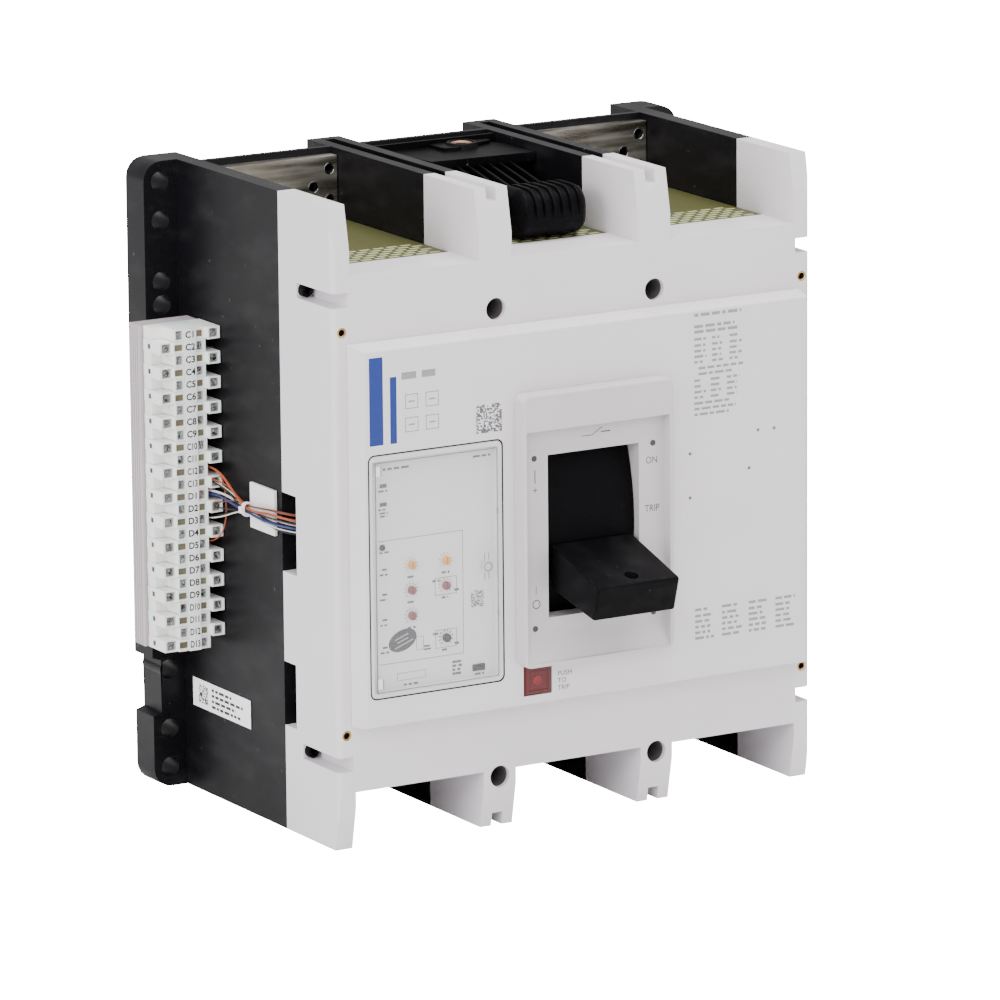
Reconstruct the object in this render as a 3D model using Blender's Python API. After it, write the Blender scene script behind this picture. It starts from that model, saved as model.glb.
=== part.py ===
"""Three-pole molded case breaker with an electronic trip unit and an auxiliary terminal strip.

The breaker hangs on its back: the origin is the centre of the mounting face, +Z is up and -Y is the
front. Every length below is in millimetres, and MM turns it into metres. A "depth" d is measured
forwards from the mounting face, so y = -d.
"""

import math

import bmesh
import bpy
from mathutils import Matrix, Vector

MM = 0.001
GAP = 0.3

# Case
HALF_WIDTH = 173.0
HALF_HEIGHT = 203.2
WALL = 12.0
BASE_DEPTH = 155.0
COVER_BACK = BASE_DEPTH + GAP
COVER_FRONT = 223.0
EAR_HALF_WIDTH = 196.85
EAR_DEPTH = 24.0
EAR_HOLE_RADIUS = 6.35
EAR_HOLE_X = 185.3
EAR_HOLE_HEIGHTS = (190.2, 165.0, 126.0, 110.8)

# Poles and the double walls between them
POLE_PITCH = 115.05
POLES = (-POLE_PITCH, 0.0, POLE_PITCH)
POCKET_HALF = 45.85
CHAMBER_HALF = 42.85
DIVIDER_X = 57.45
SLOT_HALF = 3.75
FLOOR_HEIGHT = 158.9
FEET_TOP = -166.2
WELL_HEIGHTS = (127.8, -170.5)

# Terminals
PAD_HALF = 45.3
PAD_BACK = 38.0
PAD_FRONT = 46.0
PAD_TOP = 199.0
PAD_SHOULDER = {1: 160.0, -1: -163.5}
THREAD_RADIUS = 4.0
THREADS = ((39.8, 190.8), (28.3, 179.8), (39.8, 170.4))

# Handle mechanism, as (depth, height)
HANDLE_PIVOT = (95.0, -14.0)
SLIDE_RADIUS = 143.0
CROSSBAR = (75.0, -30.0)
CROSSBAR_RADIUS = 12.0
CROSSBAR_HALF = 150.0
OPEN_ANGLE = math.radians(19.44)
LEVER_LENGTH = 30.0
LATCH_PIVOT = (120.0, 38.0)
TOGGLE_PIVOT = (158.0, -8.0)
UPPER_LINK = 36.0
LOWER_LINK = 54.0
PIN_RADIUS = 3.5
KNEE_PLAY = 1.1
TRIP_SHAFT = (187.0, -84.0)

# Front
PANEL_FRONT = 238.4
BEZEL_FRONT = 251.0
UNIT_X = (-158.0, -62.7)
UNIT_Z = (-104.7, 49.2)
UNIT_FRONT = 238.2
UNIT_FLOOR = 233.6
WINDOW_X = (-153.8, -66.8)
WINDOW_Z = (-100.7, 44.5)
WINDOW_HINGE = (-153.3, 237.85)
LATCH_AT = (-75.1, -29.8)
RESET_AT = (-146.5, -10.2)
BUTTON_X = (-48.4, -28.9)
BUTTON_Z = (-116.5, -97.0)
STEM_AT = (-43.0, -107.0)
DIALS = (
    (-125.8, -23.6, "yellow"),
    (-101.4, -23.7, "yellow"),
    (-126.0, -39.5, "red"),
    (-101.6, -39.6, "red"),
    (-126.0, -55.7, "red"),
    (-101.7, -72.8, "black"),
)

# Terminal strip
STRIP_ROWS = 26
STRIP_PITCH = 7.97
STRIP_TOP = 105.7
STRIP_BACK = 51.5
STRIP_FRONT = 76.0
ROW_X = ((-204.5, -173.6), (-214.0, -182.3))

COLOURS = {
    "case_black": ((0.012, 0.012, 0.014), 0.38, 0.0),
    "cover_grey": ((0.62, 0.60, 0.61), 0.45, 0.0),
    "black": ((0.010, 0.010, 0.011), 0.45, 0.0),
    "red": ((0.36, 0.02, 0.03), 0.35, 0.0),
    "yellow": ((0.75, 0.47, 0.08), 0.4, 0.0),
    "olive": ((0.17, 0.17, 0.05), 0.6, 0.0),
    "tin": ((0.62, 0.60, 0.56), 0.3, 1.0),
    "copper": ((0.72, 0.35, 0.2), 0.3, 1.0),
    "steel": ((0.5, 0.5, 0.52), 0.35, 1.0),
    "white": ((0.8, 0.8, 0.8), 0.5, 0.0),
    "clear": ((0.85, 0.9, 0.92), 0.1, 0.0),
    "rail_grey": ((0.4, 0.4, 0.42), 0.5, 0.0),
    "orange": ((0.6, 0.2, 0.03), 0.4, 0.0),
    "blue": ((0.05, 0.1, 0.4), 0.4, 0.0),
    "brown": ((0.22, 0.11, 0.05), 0.6, 0.0),
}


# ---------------------------------------------------------------- tools


def clear_scene():
    for obj in list(bpy.data.objects):
        bpy.data.objects.remove(obj, do_unlink=True)


def new_collection(name):
    collection = bpy.data.collections.new(name)
    bpy.context.scene.collection.children.link(collection)
    return collection


def helper(mesh):
    """A mesh as a cutter or a shape still to be joined, kept out of the render."""
    obj = bpy.data.objects.new(mesh.name, mesh)
    CUTTERS.objects.link(obj)
    obj.hide_render = True
    obj.display_type = "WIRE"
    return obj


def from_bmesh(form, name):
    mesh = bpy.data.meshes.new(name)
    form.to_mesh(mesh)
    form.free()
    return helper(mesh)


def box(x, d, z):
    """A block between two values each of x, depth and height."""
    low = Vector((x[0], -d[1], z[0])) * MM
    high = Vector((x[1], -d[0], z[1])) * MM
    form = bmesh.new()
    size = Matrix.Diagonal((*(high - low), 1.0))
    bmesh.ops.create_cube(form, size=1.0, matrix=Matrix.Translation((low + high) / 2) @ size)
    return from_bmesh(form, "block")


def rod(axis, centre, span, radius, sides=24):
    """A cylinder along x, d or z. The centre is (d, z), (x, z) or (x, d)."""
    u, v = centre
    middle = (span[0] + span[1]) / 2
    if axis == "x":
        place, turn = (middle, -u, v), Matrix.Rotation(math.pi / 2, 4, "Y")
    elif axis == "d":
        place, turn = (u, -middle, v), Matrix.Rotation(math.pi / 2, 4, "X")
    else:
        place, turn = (u, -v, middle), Matrix.Identity(4)
    form = bmesh.new()
    bmesh.ops.create_cone(
        form,
        cap_ends=True,
        segments=sides,
        radius1=radius * MM,
        radius2=radius * MM,
        depth=(span[1] - span[0]) * MM,
        matrix=Matrix.Translation(Vector(place) * MM) @ turn,
    )
    return from_bmesh(form, "rod")


PLATE_AXES = {
    "x": Matrix(((0, 0, -1), (-1, 0, 0), (0, 1, 0))),
    "d": Matrix(((1, 0, 0), (0, 0, -1), (0, 1, 0))),
    "z": Matrix(((1, 0, 0), (0, -1, 0), (0, 0, -1))),
}


def plate(axis, span, *outlines):
    """A flat piece across x, d or z: its edge, then its holes, as (d, z), (x, z) or (x, d)."""
    curve = bpy.data.curves.new("outline", "CURVE")
    curve.dimensions = "2D"
    curve.fill_mode = "BOTH"
    curve.extrude = (span[1] - span[0]) / 2
    for outline in outlines:
        spline = curve.splines.new("POLY")
        spline.points.add(len(outline) - 1)
        for point, (u, v) in zip(spline.points, outline):
            point.co = (u, v, 0.0, 1.0)
        spline.use_cyclic_u = True
    middle = (span[0] + span[1]) / 2
    shift = {"x": (middle, 0, 0), "d": (0, -middle, 0), "z": (0, 0, middle)}[axis]
    turn = PLATE_AXES[axis].to_4x4()
    return mesh_of(curve, Matrix.Scale(MM, 4) @ Matrix.Translation(shift) @ turn, 0.001)


def mesh_of(curve, matrix, weld):
    """The curve's solid as a welded mesh, moved by the matrix."""
    guide = bpy.data.objects.new("guide", curve)
    bpy.context.scene.collection.objects.link(guide)
    bpy.context.view_layer.update()
    graph = bpy.context.evaluated_depsgraph_get()
    mesh = bpy.data.meshes.new_from_object(guide.evaluated_get(graph))
    bpy.data.objects.remove(guide)
    bpy.data.curves.remove(curve)
    form = bmesh.new()
    form.from_mesh(mesh)
    bmesh.ops.remove_doubles(form, verts=form.verts, dist=weld)
    bmesh.ops.transform(form, matrix=matrix, verts=form.verts)
    bmesh.ops.recalc_face_normals(form, faces=form.faces)
    bpy.data.meshes.remove(mesh)
    return from_bmesh(form, "solid")


def tube(points, radius):
    """A lead through the points (x, d, z), read from a smooth curve every 3 diameters."""
    curve = bpy.data.curves.new("lead", "CURVE")
    curve.dimensions = "3D"
    curve.bevel_depth = radius
    curve.bevel_resolution = 2
    curve.use_fill_caps = True
    route = smooth([Vector((x, -d, z)) for x, d, z in points], 6 * radius)
    spline = curve.splines.new("POLY")
    spline.points.add(len(route) - 1)
    for point, place in zip(spline.points, route):
        point.co = (*place, 1.0)
    return mesh_of(curve, Matrix.Scale(MM, 4), 0.001)


def smooth(points, step):
    """Points along a Catmull-Rom curve through the given ones, about one step apart."""
    ends = [2 * points[0] - points[1], *points, 2 * points[-1] - points[-2]]
    route = [points[0]]
    for before, start, stop, after in zip(ends, ends[1:], ends[2:], ends[3:]):
        count = max(2, round((stop - start).length / step))
        for i in range(1, count + 1):
            t = i / count
            route.append(
                0.5
                * (
                    2 * start
                    + (stop - before) * t
                    + (2 * before - 5 * start + 4 * stop - after) * t**2
                    + (3 * start - before - 3 * stop + after) * t**3
                )
            )
    return route


def arc(centre, radius, first, last, steps):
    """Points on an arc, with its angles in degrees."""
    for i in range(steps + 1):
        angle = math.radians(first + (last - first) * i / steps)
        yield centre[0] + radius * math.cos(angle), centre[1] + radius * math.sin(angle)


def circle(centre, radius, sides=24):
    return list(arc(centre, radius, 0, 360 * (sides - 1) / sides, sides - 1))


def rounded(u, v, radius, steps=4):
    """A rectangle with round corners."""
    corners = []
    for cu, cv, first in (
        (u[1] - radius, v[1] - radius, 0),
        (u[0] + radius, v[1] - radius, 90),
        (u[0] + radius, v[0] + radius, 180),
        (u[1] - radius, v[0] + radius, 270),
    ):
        corners.extend(arc((cu, cv), radius, first, first + 90, steps))
    return corners


def turned(points, centre, angle):
    """Points turned about the centre, counterclockwise."""
    cos, sin = math.cos(angle), math.sin(angle)
    return [
        (centre[0] + (u - centre[0]) * cos - (v - centre[1]) * sin,
         centre[1] + (u - centre[0]) * sin + (v - centre[1]) * cos)
        for u, v in points
    ]


def around(value, half):
    return value - half, value + half


def soften(obj, width, segments, wanted):
    """Bevels the mesh's edges whose two ends are both wanted, tested on (x, d, z)."""
    form = bmesh.new()
    form.from_mesh(obj.data)
    bmesh.ops.dissolve_limit(form, angle_limit=0.001, verts=form.verts, edges=form.edges)
    chosen = []
    for edge in form.edges:
        ends = [(v.co.x / MM, -v.co.y / MM, v.co.z / MM) for v in edge.verts]
        if all(wanted(*end) for end in ends) and edge.calc_face_angle(0.0) > 0.6:
            chosen.append(edge)
    bmesh.ops.bevel(
        form, geom=chosen, offset=width * MM, segments=segments, profile=0.5, affect="EDGES"
    )
    form.to_mesh(obj.data)
    form.free()
    return obj


def join(body, *others):
    for other in others:
        boolean(body, other, "UNION")
    return body


def cut(body, *others):
    for other in others:
        boolean(body, other, "DIFFERENCE")
    return body


def boolean(body, other, operation):
    modifier = body.modifiers.new(operation.title(), "BOOLEAN")
    modifier.operation = operation
    modifier.solver = "EXACT"
    modifier.object = other


def material(name, colour):
    tint, roughness, metallic = COLOURS[colour]
    made = bpy.data.materials.new(name)
    made.use_nodes = True
    shader = made.node_tree.nodes["Principled BSDF"]
    shader.inputs["Base Color"].default_value = (*tint, 1.0)
    shader.inputs["Roughness"].default_value = roughness
    shader.inputs["Metallic"].default_value = metallic
    if colour == "clear":
        shader.inputs["Alpha"].default_value = 0.3
    made.diffuse_color = (*tint, 1.0)
    return made


def part(name, body, colour, origin=None):
    """Names a shape and makes it one of the breaker's parts. The origin is (x, d, z)."""
    CUTTERS.objects.unlink(body)
    BREAKER.objects.link(body)
    body.name = name
    body.data.name = name
    body.hide_render = False
    body.display_type = "TEXTURED"
    body.data.materials.clear()
    body.data.materials.append(material(name, colour))
    body.data.shade_smooth()
    body.data.set_sharp_from_angle(angle=math.radians(30))
    if origin:
        place = Vector((origin[0], -origin[1], origin[2])) * MM
        body.data.transform(Matrix.Translation(-place))
        body.location = place
    return body


# ---------------------------------------------------------------- case


def make_base():
    top = HALF_HEIGHT
    ear = [
        (EAR_HALF_WIDTH, -156.0), (EAR_HALF_WIDTH - 6, -154.0), (EAR_HALF_WIDTH - 6, -119.5),
        (EAR_HALF_WIDTH, -117.5), *arc((EAR_HALF_WIDTH - 12.5, top - 12.5), 12.5, 0, 90, 5),
    ]
    left = [(-x, z) for x, z in reversed(ear)]
    bottom = [
        *arc((12.5 - EAR_HALF_WIDTH, 12.5 - top), 12.5, 180, 270, 5),
        *arc((EAR_HALF_WIDTH - 12.5, 12.5 - top), 12.5, 270, 360, 5),
    ]
    holes = [
        circle((side * EAR_HOLE_X, end * z), EAR_HOLE_RADIUS, 16)
        for side in (-1, 1)
        for end in (-1, 1)
        for z in EAR_HOLE_HEIGHTS
    ]
    ears = plate("d", (0, EAR_DEPTH), [*ear, *left, *bottom], *holes)
    body = box(around(0, HALF_WIDTH), (0, BASE_DEPTH), around(0, top))
    join(body, ears)
    beyond = top + 1
    for end in (-1, 1):
        recess = sorted((end * 105, end * beyond))
        slot = sorted((end * 178, end * beyond))
        cut(body, box(around(0, HALF_WIDTH - WALL), (-1, 6), recess))
        for x in POLES:
            cut(body, box(around(x, POCKET_HALF), (5, 33), recess))
        for side in (-1, 1):
            cut(body, box(around(side * DIVIDER_X, SLOT_HALF), (14, BASE_DEPTH + 1), slot))
    pad_slot = (PAD_BACK - GAP, PAD_FRONT + GAP)
    for x in POLES:
        pocket = around(x, POCKET_HALF)
        cut(
            body,
            box(around(x, CHAMBER_HALF), (pad_slot[0], BASE_DEPTH + 1), (-158, 158)),
            box(around(x, CHAMBER_HALF), (10, 40), (-100, 100)),
            box(pocket, (pad_slot[0], BASE_DEPTH + 1), (157.2, beyond)),
            box(pocket, pad_slot, (109.7, 160)),
            box(pocket, pad_slot, (-beyond, -109.7)),
            box(pocket, (pad_slot[0], BASE_DEPTH + 1), (-beyond, -163)),
        )
    cut(
        body,
        box((-73, 73), (CROSSBAR[0], BASE_DEPTH + 1), around(CROSSBAR[1], 12.6)),
        rod("x", CROSSBAR, (-73, 73), 12.6),
    )
    for side in (-1, 1):
        for z in WELL_HEIGHTS:
            cut(body, rod("d", (side * DIVIDER_X, z), (129, BASE_DEPTH + 1), 3.4, 12))
    part("base", body, "case_black")


def make_cover():
    edge = COVER_FRONT
    outline = [
        (-HALF_WIDTH, COVER_BACK), (HALF_WIDTH, COVER_BACK),
        *arc((HALF_WIDTH - 4, edge - 4), 4, 0, 90, 4),
        *arc((4 - HALF_WIDTH, edge - 4), 4, 90, 180, 4),
    ]
    body = plate("z", around(0, HALF_HEIGHT), outline)
    beyond = HALF_HEIGHT + 1
    for x in POLES:
        pocket = around(x, POCKET_HALF)
        chamber = around(x, CHAMBER_HALF)
        cut(
            body,
            box(pocket, (COVER_BACK - 1, edge + 1), (FLOOR_HEIGHT, beyond)),
            box(pocket, (COVER_BACK - 1, edge + 1), (-beyond, FEET_TOP)),
            box(pocket, (COVER_BACK - 1, 185), (157.2, FLOOR_HEIGHT + 1)),
            box(chamber, (COVER_BACK - 1, 185), (145, FLOOR_HEIGHT + 1)),
            box(chamber, (COVER_BACK - 1, 215), (-158, 150)),
        )
    cut(
        body,
        box((-148, 148), (COVER_BACK - 1, 215), (-145, 112)),
        box(around(0, HALF_WIDTH - WALL), (COVER_BACK - 1, 215), (-138, 118)),
    )
    for end in (-1, 1):
        taper = [
            (edge, end * 175.2), (edge - 5.7, end * beyond),
            (edge + 2, end * beyond), (edge + 2, end * 175.2),
        ]
        cut(body, plate("x", around(0, HALF_WIDTH + 1), taper))
        for side in (-1, 1):
            slot = around(side * DIVIDER_X, SLOT_HALF)
            cut(
                body,
                box(slot, (COVER_BACK - 1, 206), sorted((end * 200.2, end * beyond))),
                box(slot, (205, edge + 1), sorted((end * 194.5, end * beyond))),
            )
    for side in (-1, 1):
        for z in WELL_HEIGHTS:
            cut(
                body,
                rod("d", (side * DIVIDER_X, z), (185, edge + 1), 7, 20),
                rod("d", (side * DIVIDER_X, z), (COVER_BACK - 1, 186), 3.4, 12),
            )
        for z in (144.5, -148.0):
            cut(
                body,
                box(sorted((side * 162, side * 175)), (178, edge + 1), around(z, 4.7)),
                rod("d", (side * 167.5, z), (164, 179), 4.5, 14),
            )
        for z in (124.6, -129.2):
            cut(body, rod("d", (side * 166.7, z), (211, edge + 1), 3.3, 14))
    cut(
        body,
        box((-174, -160), (COVER_BACK - 1, 173), (-37, 13.3)),
        box((-174, -160), (COVER_BACK - 1, 170), (-135.7, -94.7)),
        box(UNIT_X, (214, edge + 1), UNIT_Z),
        box(around(0, 40), (214, edge + 1), (-98, 70)),
        box((-49, -28), (214, edge + 1), (-117, -96.4)),
    )
    part("front_cover", body, "cover_grey")


def make_cover_screws():
    number = 0
    for side in (-1, 1):
        for z in WELL_HEIGHTS:
            number += 1
            at = (side * DIVIDER_X, z)
            screw = rod("d", at, (185.3, 191.3), 6.2, 16)
            join(screw, rod("d", at, (131, 186), 2.9, 10))
            cut(screw, box(around(at[0], 0.8), (189, 192), around(z, 7)))
            part(f"cover_screw_{number}", screw, "steel")


def make_panel():
    body = box((-163.5, 163.5), (COVER_FRONT + GAP, PANEL_FRONT), (-123.9, 117.2))
    for vertex in body.data.vertices:
        if vertex.co.y < -0.23:
            vertex.co.x *= 160.9 / 163.5
            vertex.co.z += 0.0010 if vertex.co.z < 0 else -0.0025
    soften(body, 2.5, 2, lambda x, d, z: d > 230)
    cut(
        body,
        box(around(0, 157.5), (COVER_FRONT - 1, 235.4), (-118, 110)),
        plate("d", (COVER_FRONT - 1, 240), rounded(UNIT_X, UNIT_Z, 4, 3)),
        box(around(0, 40), (234, 240), (-75, 45)),
        box((-48.9, -28.4), (222, 240), (-117, -96.5)),
    )
    for x, z in ((73.8, 23.4), (73.7, -4.9), (124.3, 32.9), (136.3, 32.8), (117.6, 9.2)):
        cut(body, rod("d", (x, z), (234, 240), 1.2, 8))
    part("front_panel", body, "cover_grey")


def make_bezel():
    body = plate("d", (PANEL_FRONT + GAP, BEZEL_FRONT), rounded((-54.5, 54.5), (-96.7, 76.8), 5, 4))
    soften(body, 1.8, 2, lambda x, d, z: d > 250)
    ramp = [(243.5, 53.8), (243.5, -78), (250, -94), (253, -94), (253, 53.8)]
    cut(
        body,
        plate("x", (-52.6, 51.2), ramp),
        box((-33.3, 32.9), (236, 245), (-67.2, 36.4)),
    )
    join(
        body,
        box((-36.0, -33.3), (224.5, 240), (-70, 39)),
        box((32.9, 35.6), (224.5, 240), (-70, 39)),
        box((-34, 34), (231, 241), (36.4, 38.8)),
        box((-34, 34), (231, 241), (-69.8, -67.2)),
    )
    for x in (-43.1, 43.1):
        for z in (35.2, -73.2):
            cut(body, rod("d", (x, z), (240, 245), 1.9, 10))
    part("handle_bezel", body, "cover_grey")


# ---------------------------------------------------------------- handle and mechanism


def make_handle():
    """The handle at OFF: a wedge outside the bezel and a neck through the slide to the yoke."""
    pivot = (0, *HANDLE_PIVOT)
    wedge = [(240.2, -21.3), (238.4, -49.8), (291.0, -60.6), (297.6, -38.4)]
    body = plate("x", around(0, 29.5), wedge)
    soften(body, 1.6, 2, lambda x, d, z: d > 237)
    neck = turned([(196, -23), (245, -23), (245, -5), (196, -5)], HANDLE_PIVOT, math.radians(-10))
    join(body, plate("x", around(0, 20), neck))
    cut(body, rod("z", (0, 287.6), (-46, -20), 4.5, 16))
    part("operating_handle", body, "black", pivot)

    shield = [
        *arc(HANDLE_PIVOT, SLIDE_RADIUS, -42.5, 26, 22),
        *reversed(list(arc(HANDLE_PIVOT, SLIDE_RADIUS - 2.5, -42.5, 26, 22))),
    ]
    slide = plate("x", around(0, 32.4), shield)
    hole = turned([(232, -24), (247, -24), (247, -4), (232, -4)], HANDLE_PIVOT, math.radians(-10))
    cut(slide, plate("x", around(0, 20.5), hole))
    part("handle_slide", slide, "black", pivot)

    arm = turned(
        [*arc(HANDLE_PIVOT, 8, 90, 270, 8), (195.5, -20), (195.5, -8)],
        HANDLE_PIVOT,
        math.radians(-10),
    )
    bridge = turned([(191, -20), (195.5, -20), (195.5, -8), (191, -8)], HANDLE_PIVOT,
                    math.radians(-10))
    yoke = plate("x", (34.5, 37.5), arm, circle(HANDLE_PIVOT, 4.3, 16))
    other = plate("x", (-37.5, -34.5), arm, circle(HANDLE_PIVOT, 4.3, 16))
    join(yoke, other, plate("x", (-36, 36), bridge))
    part("handle_yoke", yoke, "steel", pivot)

    for name, x in (("left", -14.0), ("right", 14.0)):
        part(f"main_spring_{name}", make_spring(x), "steel", pivot)


def make_spring(x):
    """A coil from the yoke's bridge towards the knee of the toggle."""
    start = turned([(190.4, -14.0)], HANDLE_PIVOT, math.radians(-10))[0]
    stop = (139.5, -31.0)
    turns, each = 6, 9
    coil = []
    for i in range(turns * each + 1):
        t = i / (turns * each)
        angle = 2 * math.pi * i / each
        centre = Vector((x, start[0] + (stop[0] - start[0]) * t, start[1] + (stop[1] - start[1]) * t))
        coil.append(centre + Vector((4 * math.cos(angle), 0, 4 * math.sin(angle))))
    curve = bpy.data.curves.new("coil", "CURVE")
    curve.dimensions = "3D"
    curve.bevel_depth = 0.8
    curve.bevel_resolution = 2
    curve.use_fill_caps = True
    spline = curve.splines.new("POLY")
    spline.points.add(len(coil) - 1)
    for point, place in zip(spline.points, coil):
        point.co = (place.x, -place.y, place.z, 1.0)
    return mesh_of(curve, Matrix.Scale(MM, 4), 0.001)


def make_frame():
    side = [
        (10.3, -66), (100, -70), (165, -70), (182, -50), (182, 12), (178, 34), (140, 56), (10.3, 56),
    ]
    holes = [circle(CROSSBAR, 13.5, 20), circle(LATCH_PIVOT, 4.4, 14)]
    frame = plate("x", (30, 33), side, *holes)
    join(
        frame,
        plate("x", (-33, -30), side, *holes),
        box((-30.5, 30.5), (100, 160), (-69.5, -66.5)),
        box((-30.5, 30.5), (121, 139), (49, 52)),
    )
    for hand in (-1, 1):
        join(
            frame,
            box(sorted((hand * 32.5, hand * 41)), (10.3, 13.3), (-66, 56)),
            rod("x", HANDLE_PIVOT, sorted((hand * 32, hand * 38.5)), 4, 16),
        )
    part("mechanism_frame", frame, "steel")


def make_latch_lever():
    outline = [
        *arc(LATCH_PIVOT, 5.6, 40, 220, 8), (150, -12), *arc(TOGGLE_PIVOT, 8, 200, 260, 3),
        (166, -40), (172, -44), (176.5, -44), (176.5, -38), *arc(TOGGLE_PIVOT, 8, 0, 50, 3),
    ]
    lever = plate("x", around(0, 3), outline)
    join(
        lever,
        rod("x", LATCH_PIVOT, around(0, 33.5), 4, 14),
        rod("x", TOGGLE_PIVOT, around(0, 8.6), PIN_RADIUS, 12),
    )
    part("latch_lever", lever, "steel")


def polar(centre, radius, angle):
    return centre[0] + radius * math.cos(angle), centre[1] + radius * math.sin(angle)


def knee():
    """Where the two toggle links meet at OFF, below the line from the lever pin to the lever."""
    pin = polar(CROSSBAR, LEVER_LENGTH, math.pi / 2 - OPEN_ANGLE)
    du, dv = pin[0] - TOGGLE_PIVOT[0], pin[1] - TOGGLE_PIVOT[1]
    distance = math.hypot(du, dv)
    cos = (UPPER_LINK**2 + distance**2 - LOWER_LINK**2) / (2 * UPPER_LINK * distance)
    return pin, polar(TOGGLE_PIVOT, UPPER_LINK, math.atan2(dv, du) + math.acos(cos))


def link_outline(first, second, radius):
    angle = math.degrees(math.atan2(second[1] - first[1], second[0] - first[0]))
    return [
        *arc(first, radius, angle + 90, angle + 270, 8),
        *arc(second, radius, angle - 90, angle + 90, 8),
    ]


def make_toggle():
    pin, middle = knee()
    upper_edge = link_outline(TOGGLE_PIVOT, middle, 7)
    upper_holes = [
        circle(TOGGLE_PIVOT, PIN_RADIUS + 0.4, 12),
        circle(middle, PIN_RADIUS + KNEE_PLAY, 12),
    ]
    upper = plate("x", (4, 8), upper_edge, *upper_holes)
    spacer = tuple((a + b) / 2 for a, b in zip(TOGGLE_PIVOT, middle))
    join(
        upper,
        plate("x", (-8, -4), upper_edge, *upper_holes),
        rod("x", spacer, around(0, 5), 3, 12),
    )
    part("upper_toggle_link", upper, "steel", (0, *TOGGLE_PIVOT))

    lower_edge = link_outline(pin, middle, 6.5)
    lower_hole = circle(pin, PIN_RADIUS + 0.4, 12)
    lower = plate("x", (21, 24), lower_edge, lower_hole)
    join(
        lower,
        plate("x", (-24, -21), lower_edge, lower_hole),
        rod("x", middle, around(0, 22), PIN_RADIUS, 12),
    )
    part("lower_toggle_link", lower, "steel", (0, *pin))


def make_contacts():
    axis = (0, *CROSSBAR)
    part("crossbar", rod("x", CROSSBAR, around(0, CROSSBAR_HALF), CROSSBAR_RADIUS), "brown", axis)
    heel = list(arc(CROSSBAR, 18, 63.6, -243.6, 18))
    blade = [*heel, (67, 92), (79, 92), (83, 60)]
    tip = [(60.6, 72), (68, 72), (68, 91), (60.6, 91)]
    for number, x in enumerate(POLES, 1):
        arm = plate("x", around(x, 20), turned(blade, CROSSBAR, -OPEN_ANGLE),
                    circle(CROSSBAR, CROSSBAR_RADIUS + GAP))
        join(arm, plate("x", around(x, 15), turned(tip, CROSSBAR, -OPEN_ANGLE)))
        if x == 0:
            join(arm, rod("x", knee()[0], around(0, 26), PIN_RADIUS, 12))
        part(f"contact_arm_{number}", arm, "copper", axis)


def make_conductors():
    threads = [(side * x, z) for side in (-1, 1) for x, z in THREADS]
    for number, x in enumerate(POLES, 1):
        for name, end in (("line", 1), ("load", -1)):
            shoulder = PAD_SHOULDER[end]
            bar = box(around(x, PAD_HALF), (PAD_BACK, PAD_FRONT), sorted((shoulder, end * PAD_TOP)))
            low = (PAD_BACK + 0.3, PAD_FRONT - 0.8)
            join(bar, box(around(x, PAD_HALF - 0.3), low, sorted((end * 110, shoulder + end))))
            neck = (PAD_BACK + 0.6, PAD_FRONT - 1.1)
            if end > 0:
                join(
                    bar,
                    box(around(x, 25), neck, (60, 113)),
                    box(around(x, 20), (42, 60), (70, 96)),
                )
            else:
                join(
                    bar,
                    box(around(x, 14), neck, (-113, -14)),
                    box(around(x, 20), (PAD_BACK + 1, 56), (-46, -13)),
                )
            for dx, z in threads:
                cut(bar, rod("d", (x + dx, end * z), (37, 47), THREAD_RADIUS, 10))
            part(f"{name}_terminal_{number}", bar, "tin")
        ring = plate(
            "z", (-98, -72), rounded(around(x, 40), (13, 71), 6, 3), rounded(around(x, 15.5), (36, 48), 2, 2)
        )
        part(f"current_sensor_{number}", ring, "black")


def make_arc_chutes():
    for number, x in enumerate(POLES, 1):
        chute = box((x - 40, x - 38), (52, 150), (99, 150))
        join(chute, box((x + 38, x + 40), (52, 150), (99, 150)))
        for i in range(9):
            join(chute, box(around(x, 38.5), around(58 + 10.5 * i, 1), (101, 148)))
        part(f"arc_chute_{number}", chute, "steel")
        sheet = box(around(x, 45.5), (46.6, 184.5), (157.5, 159.1))
        part(f"vent_sheet_{number}", sheet, "olive")


# ---------------------------------------------------------------- trip unit


def make_trip_unit():
    body = plate("d", (180, UNIT_FRONT), rounded((-157.6, -63.1), (-104.3, 48.8), 4, 3))
    cut(
        body,
        box((-155.0, -66.4), (UNIT_FLOOR, 240), (-101.1, 44.9)),
        rod("d", RESET_AT, (226, 234), 2.1, 12),
    )
    for x, z, _ in DIALS:
        cut(body, rod("d", (x, z), (228, 234), 1.5, 8))
    part("trip_unit", body, "cover_grey")

    for number, (x, z, colour) in enumerate(DIALS, 1):
        dial = rod("d", (x, z), (UNIT_FLOOR + GAP, 235.9), 2.7, 16)
        join(dial, rod("d", (x, z), (229, 234.5), 1.2, 8))
        cut(dial, box(around(x, 0.35), (235.1, 237), around(z, 2.2)))
        part(f"dial_{number}", dial, colour, (x, UNIT_FLOOR, z))

    reset = rod("d", RESET_AT, (229, 235), 1.8, 12)
    part("reset_button", reset, "black", (RESET_AT[0], 235, RESET_AT[1]))

    window = box(WINDOW_X, (236.7, 239), WINDOW_Z)
    cut(window, rod("d", LATCH_AT, (236, 240), 3.4, 16))
    part("trip_unit_window", window, "clear", (*WINDOW_HINGE, 0))

    latch = rod("d", LATCH_AT, (239.3, 240.8), 4.4, 16)
    join(latch, rod("d", LATCH_AT, (UNIT_FLOOR + 1, 240), 3, 16))
    cut(latch, box(around(LATCH_AT[0], 3.2), (240, 242), around(LATCH_AT[1], 0.5)))
    part("window_latch", latch, "black", (LATCH_AT[0], 239, LATCH_AT[1]))


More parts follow.
